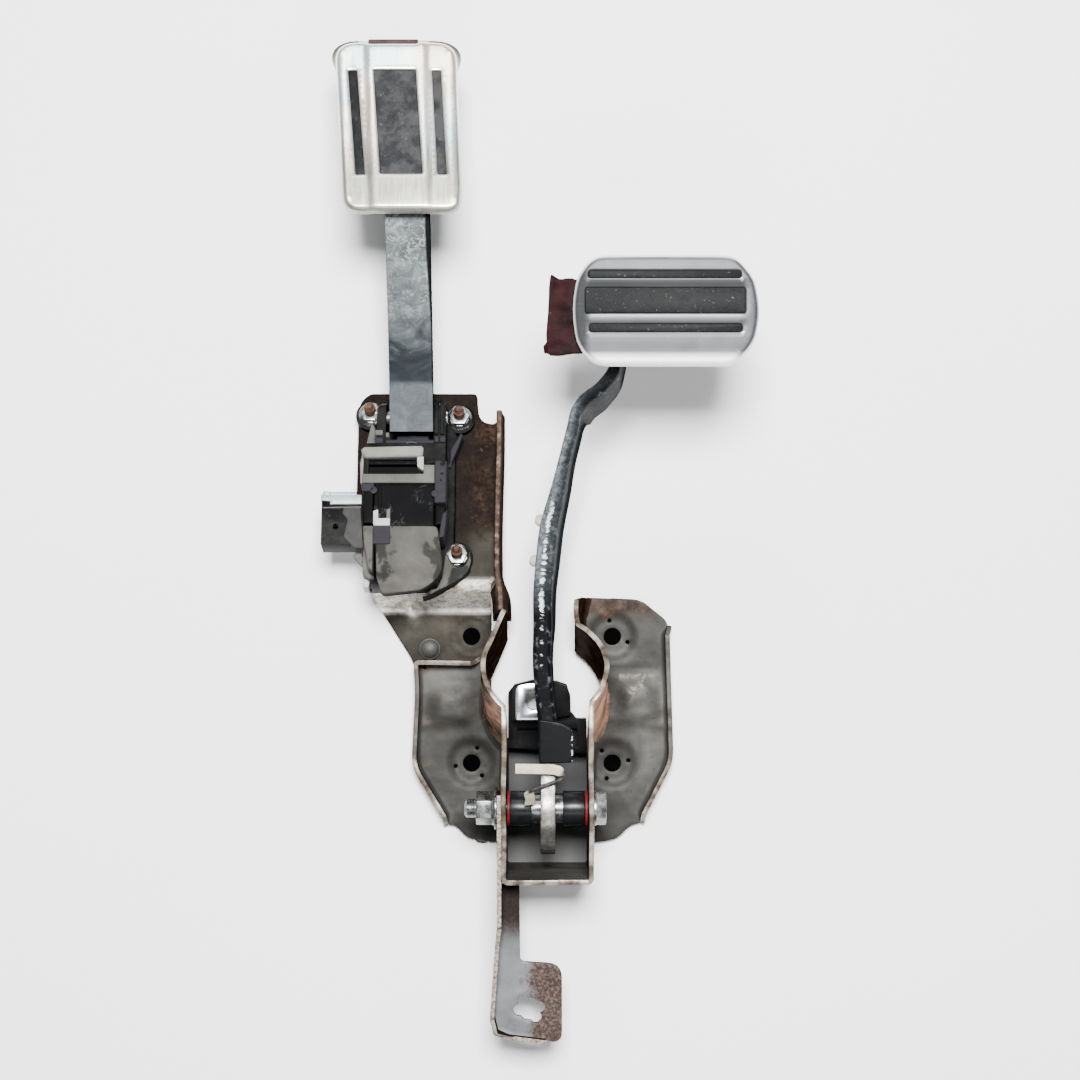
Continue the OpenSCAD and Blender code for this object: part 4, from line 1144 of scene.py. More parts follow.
def build_acc_bracket():
    plan = [(-36.5, 174), (-36.5, 168), (-35.6, 161), (-33, 157.6), (-27.5, 156.4), (-25.2, 158.0), (-24.6, 161.0), (-23, 161), (-23, 72), (-28.6, 67), (-28.6, 4), (-66, 4), (-74.5, 24), (-91, 50), (-97, 66), (-104, 100), (-104, 168), (-98, 174)]
    loop = soften(plan, [3, 1, 2, 2, 1.5, 0.6, 0.3, 0.5, 3, 2, 1, 1, 3, 6, 8, 10, 6, 3], 4)
    loop = resample(loop, 2.4)
    U = np.c_[loop[:, 0], -s_of_y(loop[:, 1])]
    # finer across the bends
    loop = ccw(resample(U, 2.0))
    def uv(x, y, r, n):
        c = circle(x, 0, r, n)
        c[:, 1] += -float(s_of_y(y))
        return c
    holes = [uv(-40, 36, 5, 32), uv(-63.7, 29, 4, 24)]
    for sx, sy in ((-21.5, 41.5), (28.5, 39.5), (28.0, -41.5)):
        w = acc([[sx, sy, 0]])[0]
        holes.append(uv(w[0], w[1], 3.2, 20))
    v, tri, idx = fill(loop, holes, 1.9)
    x, s = v[:, 0], -v[:, 1]
    y, z = yz_of_s(s)
    s1, s2 = float(s_of_y(65.2)), float(s_of_y(50.0))
    # darts across the two bends, the ring round the bolt hole, unevenness
    d1 = np.exp(-((x + 52.5) / 2.0) ** 2) * np.exp(-((s - s1) / 6.0) ** 2)
    d2 = np.exp(-((x + 72.5) / 3.8) ** 2) * np.exp(-((s - s2 + 2) / 6.0) ** 2)
    r = np.hypot(x + 40, y - 36)
    ring = 0.9 * np.exp(-((r - 11.2) / 0.8) ** 2) + 0.5 * smooth01((8.6 - r) / 0.8)
    V = np.c_[x, y, z + np.where(y < 52, ring, 0)]
    V[:, 1] -= 2.2 * d2 + 0.6 * d1
    V[:, 2] += 3.8 * d2 + 3.0 * d1 + 0.35 * wobble(x, s, 24, 31) + 0.12 * wobble(x, s, 8, 32)
    # painted light on the step face and painted highlights along both bends and on the darts, kept in the mask used for
    # worn edges
    step = smooth01((s - s1 + 5.0) / 4.0) * smooth01((s2 + 1.5 - s) / 3.0)
    wear = 0.72 * step + 0.45 * np.exp(-((s - s1 - 1.0) / 3.0) ** 2) + 0.6 * np.exp(-((s - s2 + 1.0) / 1.7) ** 2) + d1 * 0.5 + d2 * 0.4
    # painted shade beside each dart
    flank = np.exp(-((x + 48.6) / 1.3) ** 2) * np.exp(-((s - s1) / 5.0) ** 2) + np.exp(-((x + 66.0) / 1.8) ** 2) * np.exp(-((s - s2 + 2) / 4.0) ** 2)
    rust = np.clip(step * 0.55 * (1 - np.exp(-((s - s2 + 1.5) / 2.2) ** 2)), 0, 1)
    wear = np.clip(wear, 0, 1) * smooth01((x + 98) / 4)
    return V, [list(t) for t in tri], {"wear": np.clip(wear, 0, 1), "rust": rust, "dart_flank_shade": np.clip(flank, 0, 1)}


V, F, A = build_acc_bracket()
make("accelerator_bracket_plate", V, F, M["plate"], "bracket", ("accelerator_bracket",), A, solid=2.5, bevel=0.3)


def build_acc_rim():
    S, wear = [], []
    ts = np.linspace(43.0, -73.0, 64)
    for t in ts:
        up = 12.0 + 0.5 * math.sin(t * 0.11)
        if t > 30:
            up = 12.0 + 3.5 * smooth01((t - 34) / 8) - 9.0 * smooth01((t - 41.0) / 2.0)
        k = smooth01((-50 - t) / 16)
        lo = -2.2 - 14.0 * smooth01((-62 - t) / 10)
        dx = 0.5 * math.sin(t * 0.05) + 1.6 * k
        foot = 1.6 + 2.6 * k
        w = 3.0
        mid = 0.5 * (lo + up)
        # painted shade: at the lower end the rim's inner foot is widened over the gap towards the plate, so the gap
        # reads dark
        gap_shade_fill = 7.5 * smooth01((-53 - t) / 8)
        ring = [(52.0 + dx - w + foot - gap_shade_fill, t, lo), (52.0 + dx - w + 0.5 * foot - 0.5 * gap_shade_fill, t, mid), (52.0 + dx - w, t, up - 0.9), (52.0 + dx - w + 0.6, t, up),
                (52.0 + dx - 0.7, t, up), (52.0 + dx, t, up - 0.9), (52.0 + dx + 0.5 * foot, t, mid), (52.0 + dx + foot, t, lo)]
        S.append(acc(ring))
        wear += [0, 0, 0.5, 1, 0.8, 0.1, 0, 0]
    V, F = loft(S)
    return V, F, {"wear": np.array(wear, float)}


V, F, A = build_acc_rim()
make("accelerator_bracket_rim", V, F, M["rim"], "bracket", ("accelerator_bracket",), A, angle=50)

# ---------------------------------------------------------------- tail stay and small fittings on the bracket

skin("tail_bracket", M["tail"], "bracket", 0.45, cut=4.0,
     attrs={"wear": lambda c, n: np.where(c[:, 2] > 48.5, smooth01((n[:, 2] - 0.25) / 0.3), 0.0)})
skin("locating_rivet", M["steel"], "bracket", 0.5, 3)
skin("switch_holder", M["plastic"], "bracket", 0.6)
skin("switch_plate", M["bright"], "bracket", 0.4)
skin("pivot_bolt", M["zinc"], "bracket", 0.5, 3)
skin("pivot_nut", M["zinc"], "bracket", 0.5, 3)
skin("pivot_washers", M["zinc"], "bracket", 0.25)
skin("pivot_sleeve", M["bright"], "bracket", 0.15)
skin("seal_rings", M["ring"], "bracket", 0.3)
V, F = threaded((-35.4, -55.4, 55.0), (-1, 0, 0), 0.0, 6.9, 5.12, 1.5, 0.75)
make("pivot_bolt_thread", V, F, M["zinc"], "bracket", ("pivot_bolt",), angle=60)

STUDS = ((-21.5, 41.5), (28.5, 39.5), (28.0, -41.5))
skin("accelerator_studs", M["stud"], "bracket", 0.3)
skin("accelerator_nuts", M["zinc"], "bracket", 0.45, 3)
for i, (sx, sy) in enumerate(STUDS):
    o = acc([[sx, sy, 12.2]])[0]
    V, F = threaded(o, ACC_R[:, 2], 0.0, 7.6, 3.1, 1.0, 0.5, n=28, per=7)
    make("stud_thread_%d" % (i + 1), V, F, M["stud"], "bracket", ("accelerator_studs",), angle=60)

# ---------------------------------------------------------------- brake pedal

ARM = [(3.2, -27, 79.8, 32, 0), (2.6, -4, 79.8, 29, 0), (1, 10, 80.5, 28, .02), (.1, 30, 81.6, 27.5, .05), (0, 50, 83.2, 27, .09), (.6, 72, 86.2, 26, .13),
       (3.2, 95, 90, 26, .16), (8, 118, 94.5, 26, .16), (13.2, 140, 99.2, 26, .15), (16.6, 154, 102.3, 25, .12), (18.6, 160.5, 103.8, 25, .08),
       (22.5, 165.5, 105, 24, .03), (30, 171.5, 108, 23, 0), (35, 176.5, 111, 22, 0), (38.5, 184, 115, 20, 0), (41, 194, 119.2, 17, 0), (43, 206, 119.2, 12, 0)]


def build_arm():
    P = catmull(ARM, 7)
    T = unit(np.gradient(P[:, :2], axis=0))
    S, wear, edge, pale = [], [], [], []
    for k, (p, t) in enumerate(zip(P, T)):
        n = np.array([t[1], -t[0]])
        d, lean = p[3], p[4]
        r = 2.3
        bow = 0.25 * math.sin(k * 0.55) + 0.18 * math.sin(k * 0.23 + 1)
        rr = np.asarray(round_rect(6.4 + 3.8 * smooth01((136 - p[1]) / 44), d, r, 4), float)
        flat = rr[:, 1] > rr[:, 1].max() - 1e-6
        at = next(i for i in range(len(rr)) if flat[i] and flat[(i + 1) % len(rr)])
        a0, a1 = rr[at, 0], rr[(at + 1) % len(rr), 0]
        rr = np.insert(rr, at + 1, [(a0 + (a1 - a0) * q / 6.0, rr[at, 1]) for q in range(1, 6)], axis=0)
        ring = []
        for a, b in rr:
            dz = b - d / 2
            off = a + bow * (1 if a > 0 else 0.6)
            turn = smooth01((p[1] - 148) / 18) * smooth01((200 - p[1]) / 14)
            x = p[0] + n[0] * off + (lean + 0.12 * turn) * (-dz)
            y = p[1] + n[1] * off - 0.36 * turn * (-dz)
            z = p[2] + dz
            ring.append((x, y, z))
            # painted highlight and worn paint: a streak down the middle of the near face, beads of it low down
            near = smooth01((dz + 2.4) / 1.6)
            live = smooth01((p[1] - 16) / 12) * smooth01((126 - p[1]) / 26)
            bead = smooth01((52 - p[1]) / 8)
            mid = smooth01((2.2 - abs(a + 0.4)) / 1.4) * (1 - bead) + bead * math.exp(-((a + 0.3) / 1.3) ** 2) * smooth01((math.sin(p[1] * 1.31) + 0.5) / 0.7)
            wear.append(near * live * mid)
            # painted sheen on the upper half of the arm: near face lighter than the side, except at the bend near the
            # pad, where the side is the lighter
            bent = smooth01((p[1] - 158) / 8)
            pale.append(smooth01((p[1] - 48) / 34) * (0.28 + 0.06 * bent + (0.72 - 0.92 * bent) * near) * (0.25 + 0.75 * smooth01((1.6 - a) / 3.6)))
            edge.append(smooth01((dz + 3.2) / 2.0) * (0.08 + 0.92 * smooth01((abs(a) - 1.6) / 1.6)) * 0.7)
        S.append(ring)
    V, F = loft(S)
    return V, F, {"wear": np.array(wear), "edge": np.array(edge), "pale": np.array(pale)}


V, F, A = build_arm()
make("brake_arm_forging", V, F, M["paint"], "brake_pedal", ("brake_arm",), A, angle=50)
# painted highlight: the tab's right edge is painted light, through its edge and wear masks
skin("brake_tab", M["paint"], "brake_pedal", 0.7, 3, cut=2.5,
     attrs={"edge": lambda c, n: smooth01((c[:, 0] - 14.5) / 1.2), "wear": lambda c, n: 0.9 * smooth01((c[:, 0] - 15.3) / 0.5) * smooth01((n[:, 2] + 0.2) / 0.5)})
skin("brake_lever", M["bare"], "brake_pedal", 0.6, 3)
skin("brake_hub_tube", M["zinc"], "brake_pedal", 0.3)
skin("brake_spacers", M["spacer"], "brake_pedal", 0.5, 3)
skin("brake_bushes", M["ivory"], "brake_pedal", 0.2)
skin("arm_clip", M["ivory"], "brake_pedal", 0.6, 3)


def build_strip():
    """A flat cream strip: bar across the arm, a fold on the right, back on edge, and a tongue curled over the left spacer."""
    P = [(-14.2, -31.0, 84.6), (-6, -31.1, 84.8), (2, -31.3, 84.6), (7.5, -31.8, 84.4), (10.6, -33.4, 83.8), (11.2, -35.6, 82.8), (8.0, -37.8, 82.2),
         (2, -40.0, 81.8), (-3.6, -42.2, 81.2), (-6.6, -43.6, 79.8), (-6.9, -45.4, 77.6), (-6.4, -48.2, 74.4), (-6.9, -51.2, 71.2)]
    c = catmull(P, 6)
    T = unit(np.gradient(c, axis=0))
    m = len(c)
    S, dark = [], []
    for k in range(m):
        t = T[k]
        u = k / (m - 1) * 12
        flat = unit(np.cross(t, [0, 0, 1.0]))
        upr = np.array([0, 0, 1.0]) - t * t[2]
        e = smooth01((u - 3.2) / 1.6) * (1 - smooth01((u - 8.2) / 1.6))
        if u > 8:
            flat = np.array([-1.0, -0.25, 0.1])
            flat = unit(flat - t * (flat @ t))
        side = unit(flat * (1 - e) + unit(upr) * e * (1 if flat @ upr >= -0.2 else -1))
        nrm = np.cross(side, t)
        half = 2.7 - 0.8 * e
        ring = round_rect(half * 2, 1.7, 0.7, 3)
        S.append(c[k] + ring[:, :1] * side + ring[:, 1:] * nrm)
        # painted shade: the fold and the length running back on edge are marked dark
        dark += [smooth01((u - 3.4) / 0.8) * (1 - smooth01((u - 8.6) / 0.8))] * len(ring)
    V, F = loft(S)
    return V, F, {"dark": np.array(dark)}


def strip_nylon():
    m = Mat("strip_nylon")
    n = m.noise(140, 5, 0.65)
    col = m.ramp(n, [(0.3, C(150, 142, 122)), (0.7, C(192, 185, 164))])
    # painted shade: the dark mask turns the cream nylon near-black along the fold and the return
    col = m.mix(m.math("MULTIPLY", m.attr("dark"), m.band(n, 0.2, 0.5, 0.75, 1.0)), col, C(22, 21, 19))
    return m.done(col, 0.5, 0.0, n, 0.15, 0.0003, spec=0.25)


V, F, A = build_strip()
make("brake_spring_strip", V, F, strip_nylon(), "brake_pedal", ("brake_spring",), A, angle=50)


def build_foot_plate():
    pts = [(4.5, 228.6), (9, 225.4), (14, 226.4), (18, 225.2), (30, 226), (96, 226), (104, 218), (104, 198), (96, 189), (30, 188), (16, 187.2), (9, 186.2), (3.2, 186.4), (2, 196), (3.4, 212)]
    loop = ccw(resample(soften(pts, [1.5, 2, 2, 2, 1, 4, 3, 3, 4, 1, 2, 2, 1.5, 3, 4], 4), 2.0))
    v, tri, idx = fill(loop, [], 1.8)
    x, y = v.T
    z = 122.2 + 0.45 * wobble(x, y, 12, 41) * smooth01((34 - x) / 6) + 0.15 * wobble(x, y, 5, 42) * smooth01((34 - x) / 6)
    return np.c_[x, y, z], [list(t) for t in tri]


V, F = build_foot_plate()
make("brake_foot_plate_painted", V, F, M["red"], "brake_pedal", ("brake_foot_plate",), None, solid=3.0, bevel=0.5)
skin("brake_pad_rubber", M["rubber"], "brake_pedal", 0.4)


def trim(outline, windows, zf, drop, thick, step, corner_r, gap=None, flare=None, clean=None, painted_shine=None, soil=None):
    """Pressed pad trim: domed face, windows with turned-in edges, rim rolled down all round."""
    nrm = normals_out(outline)
    bend = 3.0
    base = outline - nrm * bend
    fl = np.array([float(flare(q)) if flare else 0.0 for q in outline])
    ok = np.array([0.0 if clean and clean(q) else 1.0 for q in outline])
    holes = [slot_loop(wn[0], wn[1], wn[2], wn[3], corner_r, 5, 2.0) for wn in windows]
    for lp, wn in zip(holes, windows):
        if len(wn) > 4:
            lp[:, 0] -= wn[4] * (lp[:, 1] - wn[1])
    outer_holes = holes
    v2, tri, idx = fill(base, outer_holes, step)
    V = [np.c_[v2, zf(v2[:, 0], v2[:, 1])]]
    grime = [np.zeros(len(v2))]
    F = [list(t) for t in tri]
    n = len(outline)
    count = len(v2)
    z0 = zf(base[:, 0], base[:, 1])
    prev = idx[0]
    rings = [(bend * math.sin(a), -bend * (1 - math.cos(a))) for a in np.radians([15, 30, 45, 60, 75, 90])]
    for k in range(len(rings) + 3):
        if k < len(rings):
            o, u = rings[k]
            d = np.full(n, u)
            g = 0.13 * np.minimum(fl, 3.4) * ok * max(0.0, (k - 2) / 3.0)
        else:
            s = (k - len(rings) + 1) / 3.0
            o = bend + (0.0 if s < 1 else -0.15) + fl * s
            d = -bend + (drop + bend) * s * np.ones(n)
            g = (0.15 * s + 0.24 * np.minimum(fl, 3.4)) * ok
        V.append(np.c_[base + nrm * (np.zeros(n) + o)[:, None], z0 + d])
        grime.append(np.zeros(n) + g)
        cur = count + np.arange(n)
        count += n
        for i in range(n):
            j = (i + 1) % n
            if gap is not None and k >= len(rings) - 1 and gap(outline[i]) and gap(outline[j]):
                continue
            F.append([prev[i], cur[i], cur[j], prev[j]])
        prev = cur
    for hi, loop in enumerate(holes):
        inn = -normals_out(loop)
        a = idx[1 + hi]
        zb = zf(loop[:, 0], loop[:, 1])
        m = len(loop)
        for off, dz in ((0.35, -0.12), (0.6, -0.4), (0.7, -0.9)):
            V.append(np.c_[loop + inn * off, zb + dz])
            grime.append(np.full(m, 0.0 if off < 0.5 else 0.35))
            b = count + np.arange(m)
            count += m
            for i in range(m):
                j = (i + 1) % m
                F.append([a[i], a[j], b[j], b[i]])
            a = b
    V = np.concatenate(V)
    grime = np.concatenate(grime)
    if soil:
        grime = np.clip(grime + soil(V), 0, 1)
    return V, F, {"grime": grime, "painted_shine": painted_shine(V) if painted_shine else np.zeros(len(V))}


BW, BH = 48.6, 28.6
bring = soften([(-BW + 11, -BH), (BW - 13, -BH), (BW - 3, -BH + 12), (BW, 0), (BW - 3, BH - 12), (BW - 13, BH), (-BW + 11, BH), (-BW + 2.5, BH - 11), (-BW, 0), (-BW + 2.5, -BH + 11)],
               [7, 6, 6, 8, 6, 6, 7, 6, 8, 6], 5)
bloop = ccw(resample(bring, 2.0))
BWIN = [(-0.9, 18.4, 78.6, 4.4), (-0.6, 5.0, 82.6, 13.6), (-0.4, -9.2, 78.6, 4.6)]


def bz(x, y):
    z = -1.0 - 1.0 * np.abs(np.maximum(y, 0) / BH) ** 3 - 0.5 * np.abs(x / BW) ** 4
    z = z - 0.8 * smooth01((-12.5 - y) / 14)
    inx = smooth01((44 - np.abs(x)) / 4)
    for yr in (13.7, -4.6):
        z = z + 0.45 * np.exp(-((y - yr) / 1.6) ** 2) * inx
    return z + 0.06 * wobble(x, y, 14, 51)


V, F, A = trim(bloop, [(a, b, w + 1.2, h + 1.2) for a, b, w, h in BWIN], bz, -6.0, 1.0, 2.0, 2.4,
               soil=lambda v: np.clip((0.60 * smooth01((-39.0 - v[:, 0]) / 3.5) + 0.30 * smooth01((v[:, 0] - 42) / 5)) * smooth01((23 - np.abs(v[:, 1])) / 6) * smooth01((v[:, 2] + 3.2) / 1.2)
                                      + (0.72 * np.exp(-((v[:, 1] - 13.8) / 2.0) ** 4) + 0.42 * np.exp(-((v[:, 1] + 5.6) / 1.6) ** 2)) * smooth01((42 - np.abs(v[:, 0])) / 3), 0, 0.8),
               # painted highlights: the lower panel, thin lines at the window edges, and the top of the rolled rim
               painted_shine=lambda v: np.clip(0.9 * smooth01((-20.5 - v[:, 1]) / 6.5) * smooth01((v[:, 2] + 6) / 1.0)
                                       + (0.9 * np.exp(-((v[:, 1] - 16.3) / 0.3) ** 2) + 0.30 * np.exp(-((v[:, 1] + 2.6) / 0.8) ** 2) + 0.6 * np.exp(-((v[:, 1] + 11.3) / 0.4) ** 2)) * smooth01((41 - np.abs(v[:, 0])) / 3)
                                       + 0.85 * smooth01((-v[:, 2] - 1.95) / 0.7), 0, 1))
make("brake_pad_trim_pressed", bpad(V), F, M["trim_b"], "brake_pedal", ("brake_pad_trim",), A, solid=0.9, bevel=0.0, angle=40)

# ---------------------------------------------------------------- accelerator pedal

skin("accelerator_arm", M["arm"], "accelerator_pedal", 1.0, 3)
skin("accelerator_bushes", M["plastic"], "accelerator_pedal", 0.25)
skin("spring_seat", M["plastic"], "accelerator_pedal", 0.3)
skin("sensor_magnet", M["magnet"], "accelerator_pedal", 0.2)
skin("accelerator_pad_base", M["plastic"], "accelerator_pedal", 0.5)

AW, AH = 33.0, 49.0
aring = soften([(-AW + 2.2, -AH), (AW - 1.4, -AH), (AW, -AH + 12), (AW - 0.8, AH), (-AW, AH)], [9, 8, 4, 12, 12], 7)
aloop = ccw(resample(aring, 2.0))
aloop[:, 1] -= 1.2 * smooth01((aloop[:, 0] + 16.0) / 1.5) * smooth01((12.5 - aloop[:, 0]) / 1.5) * (aloop[:, 1] > AH - 3)
AWIN = [(-22.3, 1.4, 5.2, 60.8, 0.042), (-0.1, 1.5, 22.8, 60.8, 0.035), (21.9, 1.4, 5.1, 60.4, 0.030)]


def az(x, y):
    z = -1.2 - 0.7 * np.abs(x / AW) ** 3 - 0.7 * np.abs(y / AH) ** 5
    mid = smooth01((16.6 - np.abs(x)) / 1.6)
    z = z + 0.75 * mid
    z = z + 0.55 * np.exp(-((np.abs(x) - 28.2) / 1.4) ** 2) * smooth01((46 - np.abs(y)) / 5)
    return z + 0.06 * wobble(x, y, 14, 61)


V, F, A = trim(aloop, [(a, b, w + 1.2, h + 1.2, q) for a, b, w, h, q in AWIN], az, -6.6, 1.0, 2.0, 1.5,
               gap=lambda p: p[1] > AH - 4 and -15.5 < p[0] < 12.0,
               flare=lambda p: 3.4 * smooth01((p[1] - AH + 18) / 15),
               clean=lambda p: p[1] > AH - 3 and (-20.5 < p[0] < -15 or 11.5 < p[0] < 17.5),
               soil=lambda v: 0.16 * smooth01((-28 - v[:, 1]) / 8) * (0.6 + 0.4 * wobble(v[:, 0], v[:, 1], 7, 63)),
               # painted reflection over the upper part of the accelerator trim
               painted_shine=lambda v: 0.92 * smooth01((v[:, 1] + 34) / 44) * smooth01((v[:, 2] + 4.5) / 1.5))
make("accelerator_pad_trim_pressed", apad(V), F, M["trim_a"], "accelerator_pedal", ("accelerator_pad_trim",), A, solid=0.9, bevel=0.0, angle=40)

# ---------------------------------------------------------------- accelerator module


def block(name, pts, top, z0, mat, nodes, r=1.0, rnd=0.9, step=2.2, attrs=None, frame_of=None, body="bracket"):
    """A moulded block in the module's frame: plan outline, height of its top as a number or a function, rounded upper edges."""
    loop = ccw(resample(soften(pts, r, 4), step))
    nrm = normals_out(loop)
    zf = top if callable(top) else (lambda x, y: np.full_like(np.asarray(x, float), top))
    inner = loop - nrm * rnd
    v, tri, idx = fill(inner, [], step)
    V = [np.c_[v, zf(v[:, 0], v[:, 1])]]
    F = [list(t) for t in tri]
    n, count, prev = len(loop), len(v), idx[0]
    zt = zf(inner[:, 0], inner[:, 1])
    for o, d in ((0.5, 0.134), (0.866, 0.5), (1.0, 1.0), (1.0, None)):
        z = zt - rnd * d if d is not None else np.full(n, float(z0))
        V.append(np.c_[inner + nrm * rnd * o, z])
        cur = count + np.arange(n)
        count += n
        for i in range(n):
            j = (i + 1) % n
            F.append([prev[i], cur[i], cur[j], prev[j]])
        prev = cur
    F.append([int(i) for i in prev[::-1]])
    V = np.concatenate(V)
    A = {k: f(V) for k, f in (attrs or {}).items()}
    return make(name, (frame_of or acc)(V), F, mat, body, nodes, A, angle=45)


M["rubber_a"] = pad_rubber("dusty_pad_rubber", (16, 17, 19), (28, 29, 31), (46, 47, 48), (64, 64, 64), 0.40)
M["rubber_l"] = pad_rubber("worn_pad_rubber", (6, 7, 8), (12, 13, 14), (26, 27, 28), (44, 45, 45), 0.50)
M["toe"] = plain_speckle("toe_rubber", (40, 29, 28), (70, 55, 52), 0.7, 0.0, 120)
aslab = aloop - normals_out(aloop) * 1.8
block("pad_rubber_slab", aslab[::2], -2.7, -9.0, M["rubber_a"], ("accelerator_pad_rubber",), 0.5, 0.4, 3.0, frame_of=apad, body="accelerator_pedal")
for k, (cx, cy, w, h, q) in enumerate(AWIN):
    w, h = w - 0.6, h - 0.6
    block("pad_rubber_rib_%d" % (k + 1), [(cx - w / 2 + q * h / 2, cy - h / 2), (cx + w / 2 + q * h / 2, cy - h / 2), (cx + w / 2 - q * h / 2, cy + h / 2), (cx - w / 2 - q * h / 2, cy + h / 2)],
          lambda x, y: -1.45 - 0.4 * (np.abs(x) > 15) + 0.05 * wobble(x, y, 9, 81), -4.0, M["rubber_l" if k == 0 else "rubber_a"], ("accelerator_pad_rubber",), 1.0, 0.35, 1.8, frame_of=apad, body="accelerator_pedal")
block("pad_rubber_toe", [(-15.0, AH - 4.5), (11.6, AH - 4.5), (11.6, AH + 2.4), (-15.0, AH + 2.4)], -4.4, -9.0, M["toe"], ("accelerator_pad_rubber",), 0.8, 0.6, 2.0, frame_of=apad, body="accelerator_pedal")

M["frame"] = plain_speckle("dusty_frame", (58, 58, 55), (84, 84, 80), 0.7, 0.0, 70)
M["column"] = plain_speckle("dusty_column", (20, 19, 22), (38, 36, 41), 0.7, 0.0, 90)
M["flank"] = plain_speckle("dusty_flank", (34, 35, 35), (60, 60, 58), 0.8, 0.0, 60)


def scuffed_field():
    m = Mat("label_field")
    n = m.noise(60, 6, 0.65, 0.4)
    col = m.ramp(n, [(0.3, C(2, 2, 3)), (0.7, C(8, 8, 9))])
    line = m.math("ABSOLUTE", m.math("SUBTRACT", m.noise(130, 4, 0.7, 1.4), 0.5), 0.0)
    mark = m.math("MULTIPLY", m.band(line, 0.022, 0.006), m.band(m.noise(70, 3, 0.5), 0.50, 0.58))
    mark = m.math("MULTIPLY", mark, m.band(m.normal()[2], 0.6, 0.9))
    col = m.mix(mark, col, C(44, 46, 45))
    return m.done(col, 0.55, 0.0, n, 0.2, 0.0003, spec=0.03)


M["label"] = black_plastic("label_surround", 0.3, (3, 3, 4), (15, 15, 14))
M["scuffed"] = scuffed_field()
M["capbar"] = plain_speckle("cap_pale", (86, 86, 81), (118, 118, 112), 0.6, 0.0, 70)
M["white"] = plain_speckle("clean_white", (132, 134, 132), (170, 171, 168), 0.45, 0.0, 120)
SM = {"smudge": lambda V: np.ones(len(V))}

skin("pedal_housing", M["housing"], "bracket", 0.5)
# skirt and ears of the housing
block("housing_skirt", [(-22.5, -57), (-12, -60.6), (12, -60.4), (20, -58), (26.6, -36), (26.6, 19.5), (28.5, 27), (24, 34), (-18, 36), (-22.5, 30)], 8.0, 0.2, M["housing"], ("pedal_housing",), 3, 1.0)
# grey cover with sloping lower end
block("cover_body", [(-15.6, -32.2), (17.6, -32.2), (18.6, -34.8), (21.2, -52.6), (20.3, -58.2), (15.0, -63), (9.6, -66.2), (-12.4, -68.8), (-14.8, -60)],
      lambda x, y: 36.0 - 9.0 * smooth01((-53.5 - y + 0.12 * x) / 15.0) - 0.05 * np.maximum(x - 12, 0) ** 1.6 + 0.12 * wobble(x, y, 11, 71), 21.4, M["cover"], ("housing_cover",), [0.6, 1.5, 2, 4, 4, 4, 3, 3, 2], 1.3, 2.0, SM)
block("cover_side", [(-22.8, -31.4), (-16.6, -31.4), (-15.9, -57.8), (-19.4, -55.4), (-22.0, -40)],
      lambda x, y: 33.0 - 3.0 * smooth01((-40 - y) / 16), 20.0, M["cover"], ("housing_cover",), 0.8, 0.8, 2.0, SM)
block("cover_ear", [(8, -66.6), (16.5, -63.5), (27, -56.6), (34.4, -50.8), (36.2, -43), (33.4, -36.6), (27, -35.0), (21.6, -40), (19.6, -56)],
      lambda x, y: 12.0 - 5.2 * smooth01((x - 17) / 12.0), 0.4, M["cover"], ("pedal_housing",), 3, 1.0, 2.0, SM)
# bare label field, its left block, the pale clip and its tab
block("label_field", [(-16.8, -31.8), (16.0, -31.8), (16.0, -7.0), (-16.8, -7.0)], 32.6, 9.0, M["scuffed"], ("housing_cover",), 0.5, 0.4)
block("label_left", [(-22.6, -30.6), (-17.2, -30.6), (-17.2, -9.4), (-22.6, -9.4)], 34.2, 9.0, M["label"], ("housing_cover",), 0.6, 0.6)
block("label_rib", [(-14.6, -24.4), (-12.6, -24.4), (-12.6, -8.8), (-14.6, -8.8)], 33.4, 30.0, M["label"], ("housing_cover",), 0.3, 0.3)
block("clip_left", [(-16.8, -31.4), (-14.2, -31.4), (-14.2, -23.4), (-16.8, -24.2)], 36.6, 28.0, M["white"], ("housing_cover",), 0.3, 0.3)
block("clip_bar", [(-16.6, -32.6), (-7.6, -32.6), (-7.6, -28.4), (-16.6, -28.4)], 37.0, 28.0, M["white"], ("housing_cover",), 0.5, 0.5)
block("clip_right", [(-9.6, -31.4), (-7.6, -31.4), (-7.6, -22.8), (-9.6, -23.4)], 36.4, 28.0, M["frame"], ("housing_cover",), 0.3, 0.3)
block("clip_tab", [(-16.8, -43.0), (-7.4, -43.0), (-7.6, -32.8), (-16.8, -32.8)], 36.9, 30.0, M["column"], ("housing_cover",), 0.5, 0.5)
block("cover_groove_rib", [(-16.9, -60), (-15.9, -60.4), (-15.9, -33), (-16.9, -33)], 34.4, 9.0, M["label"], ("housing_cover",), 0.2, 0.2)
# frame round the recess, column on the right, pale cap bar with its white end
block("frame_bar", [(-23.2, -8.0), (16.2, -8.0), (16.2, 2.4), (10.2, 2.4), (10.2, -2.8), (-23.2, -2.8)], 36.0, 20.0, M["frame"], ("pedal_housing",), [0.8, 0.5, 0.5, 0.5, 0.5, 0.8], 0.6, 1.8)
block("frame_left_end", [(-23.0, -12.6), (-16.8, -12.6), (-16.8, -8.0), (-23.0, -8.0)], 35.4, 20.0, M["column"], ("pedal_housing",), 0.5, 0.5)
block("right_column", [(16.2, -19.2), (22.6, -19.2), (22.8, 5.0), (16.2, 5.2)], lambda x, y: 35.2 + 0.25 * wobble(x, y, 6, 73), 8.0, M["column"], ("pedal_housing",), 0.8, 0.8, 1.6)
block("right_column_low", [(16.6, -31.6), (21.4, -30.0), (22.4, -19.4), (16.6, -19.4)], 32.4, 8.0, M["label"], ("pedal_housing",), 0.8, 0.6)
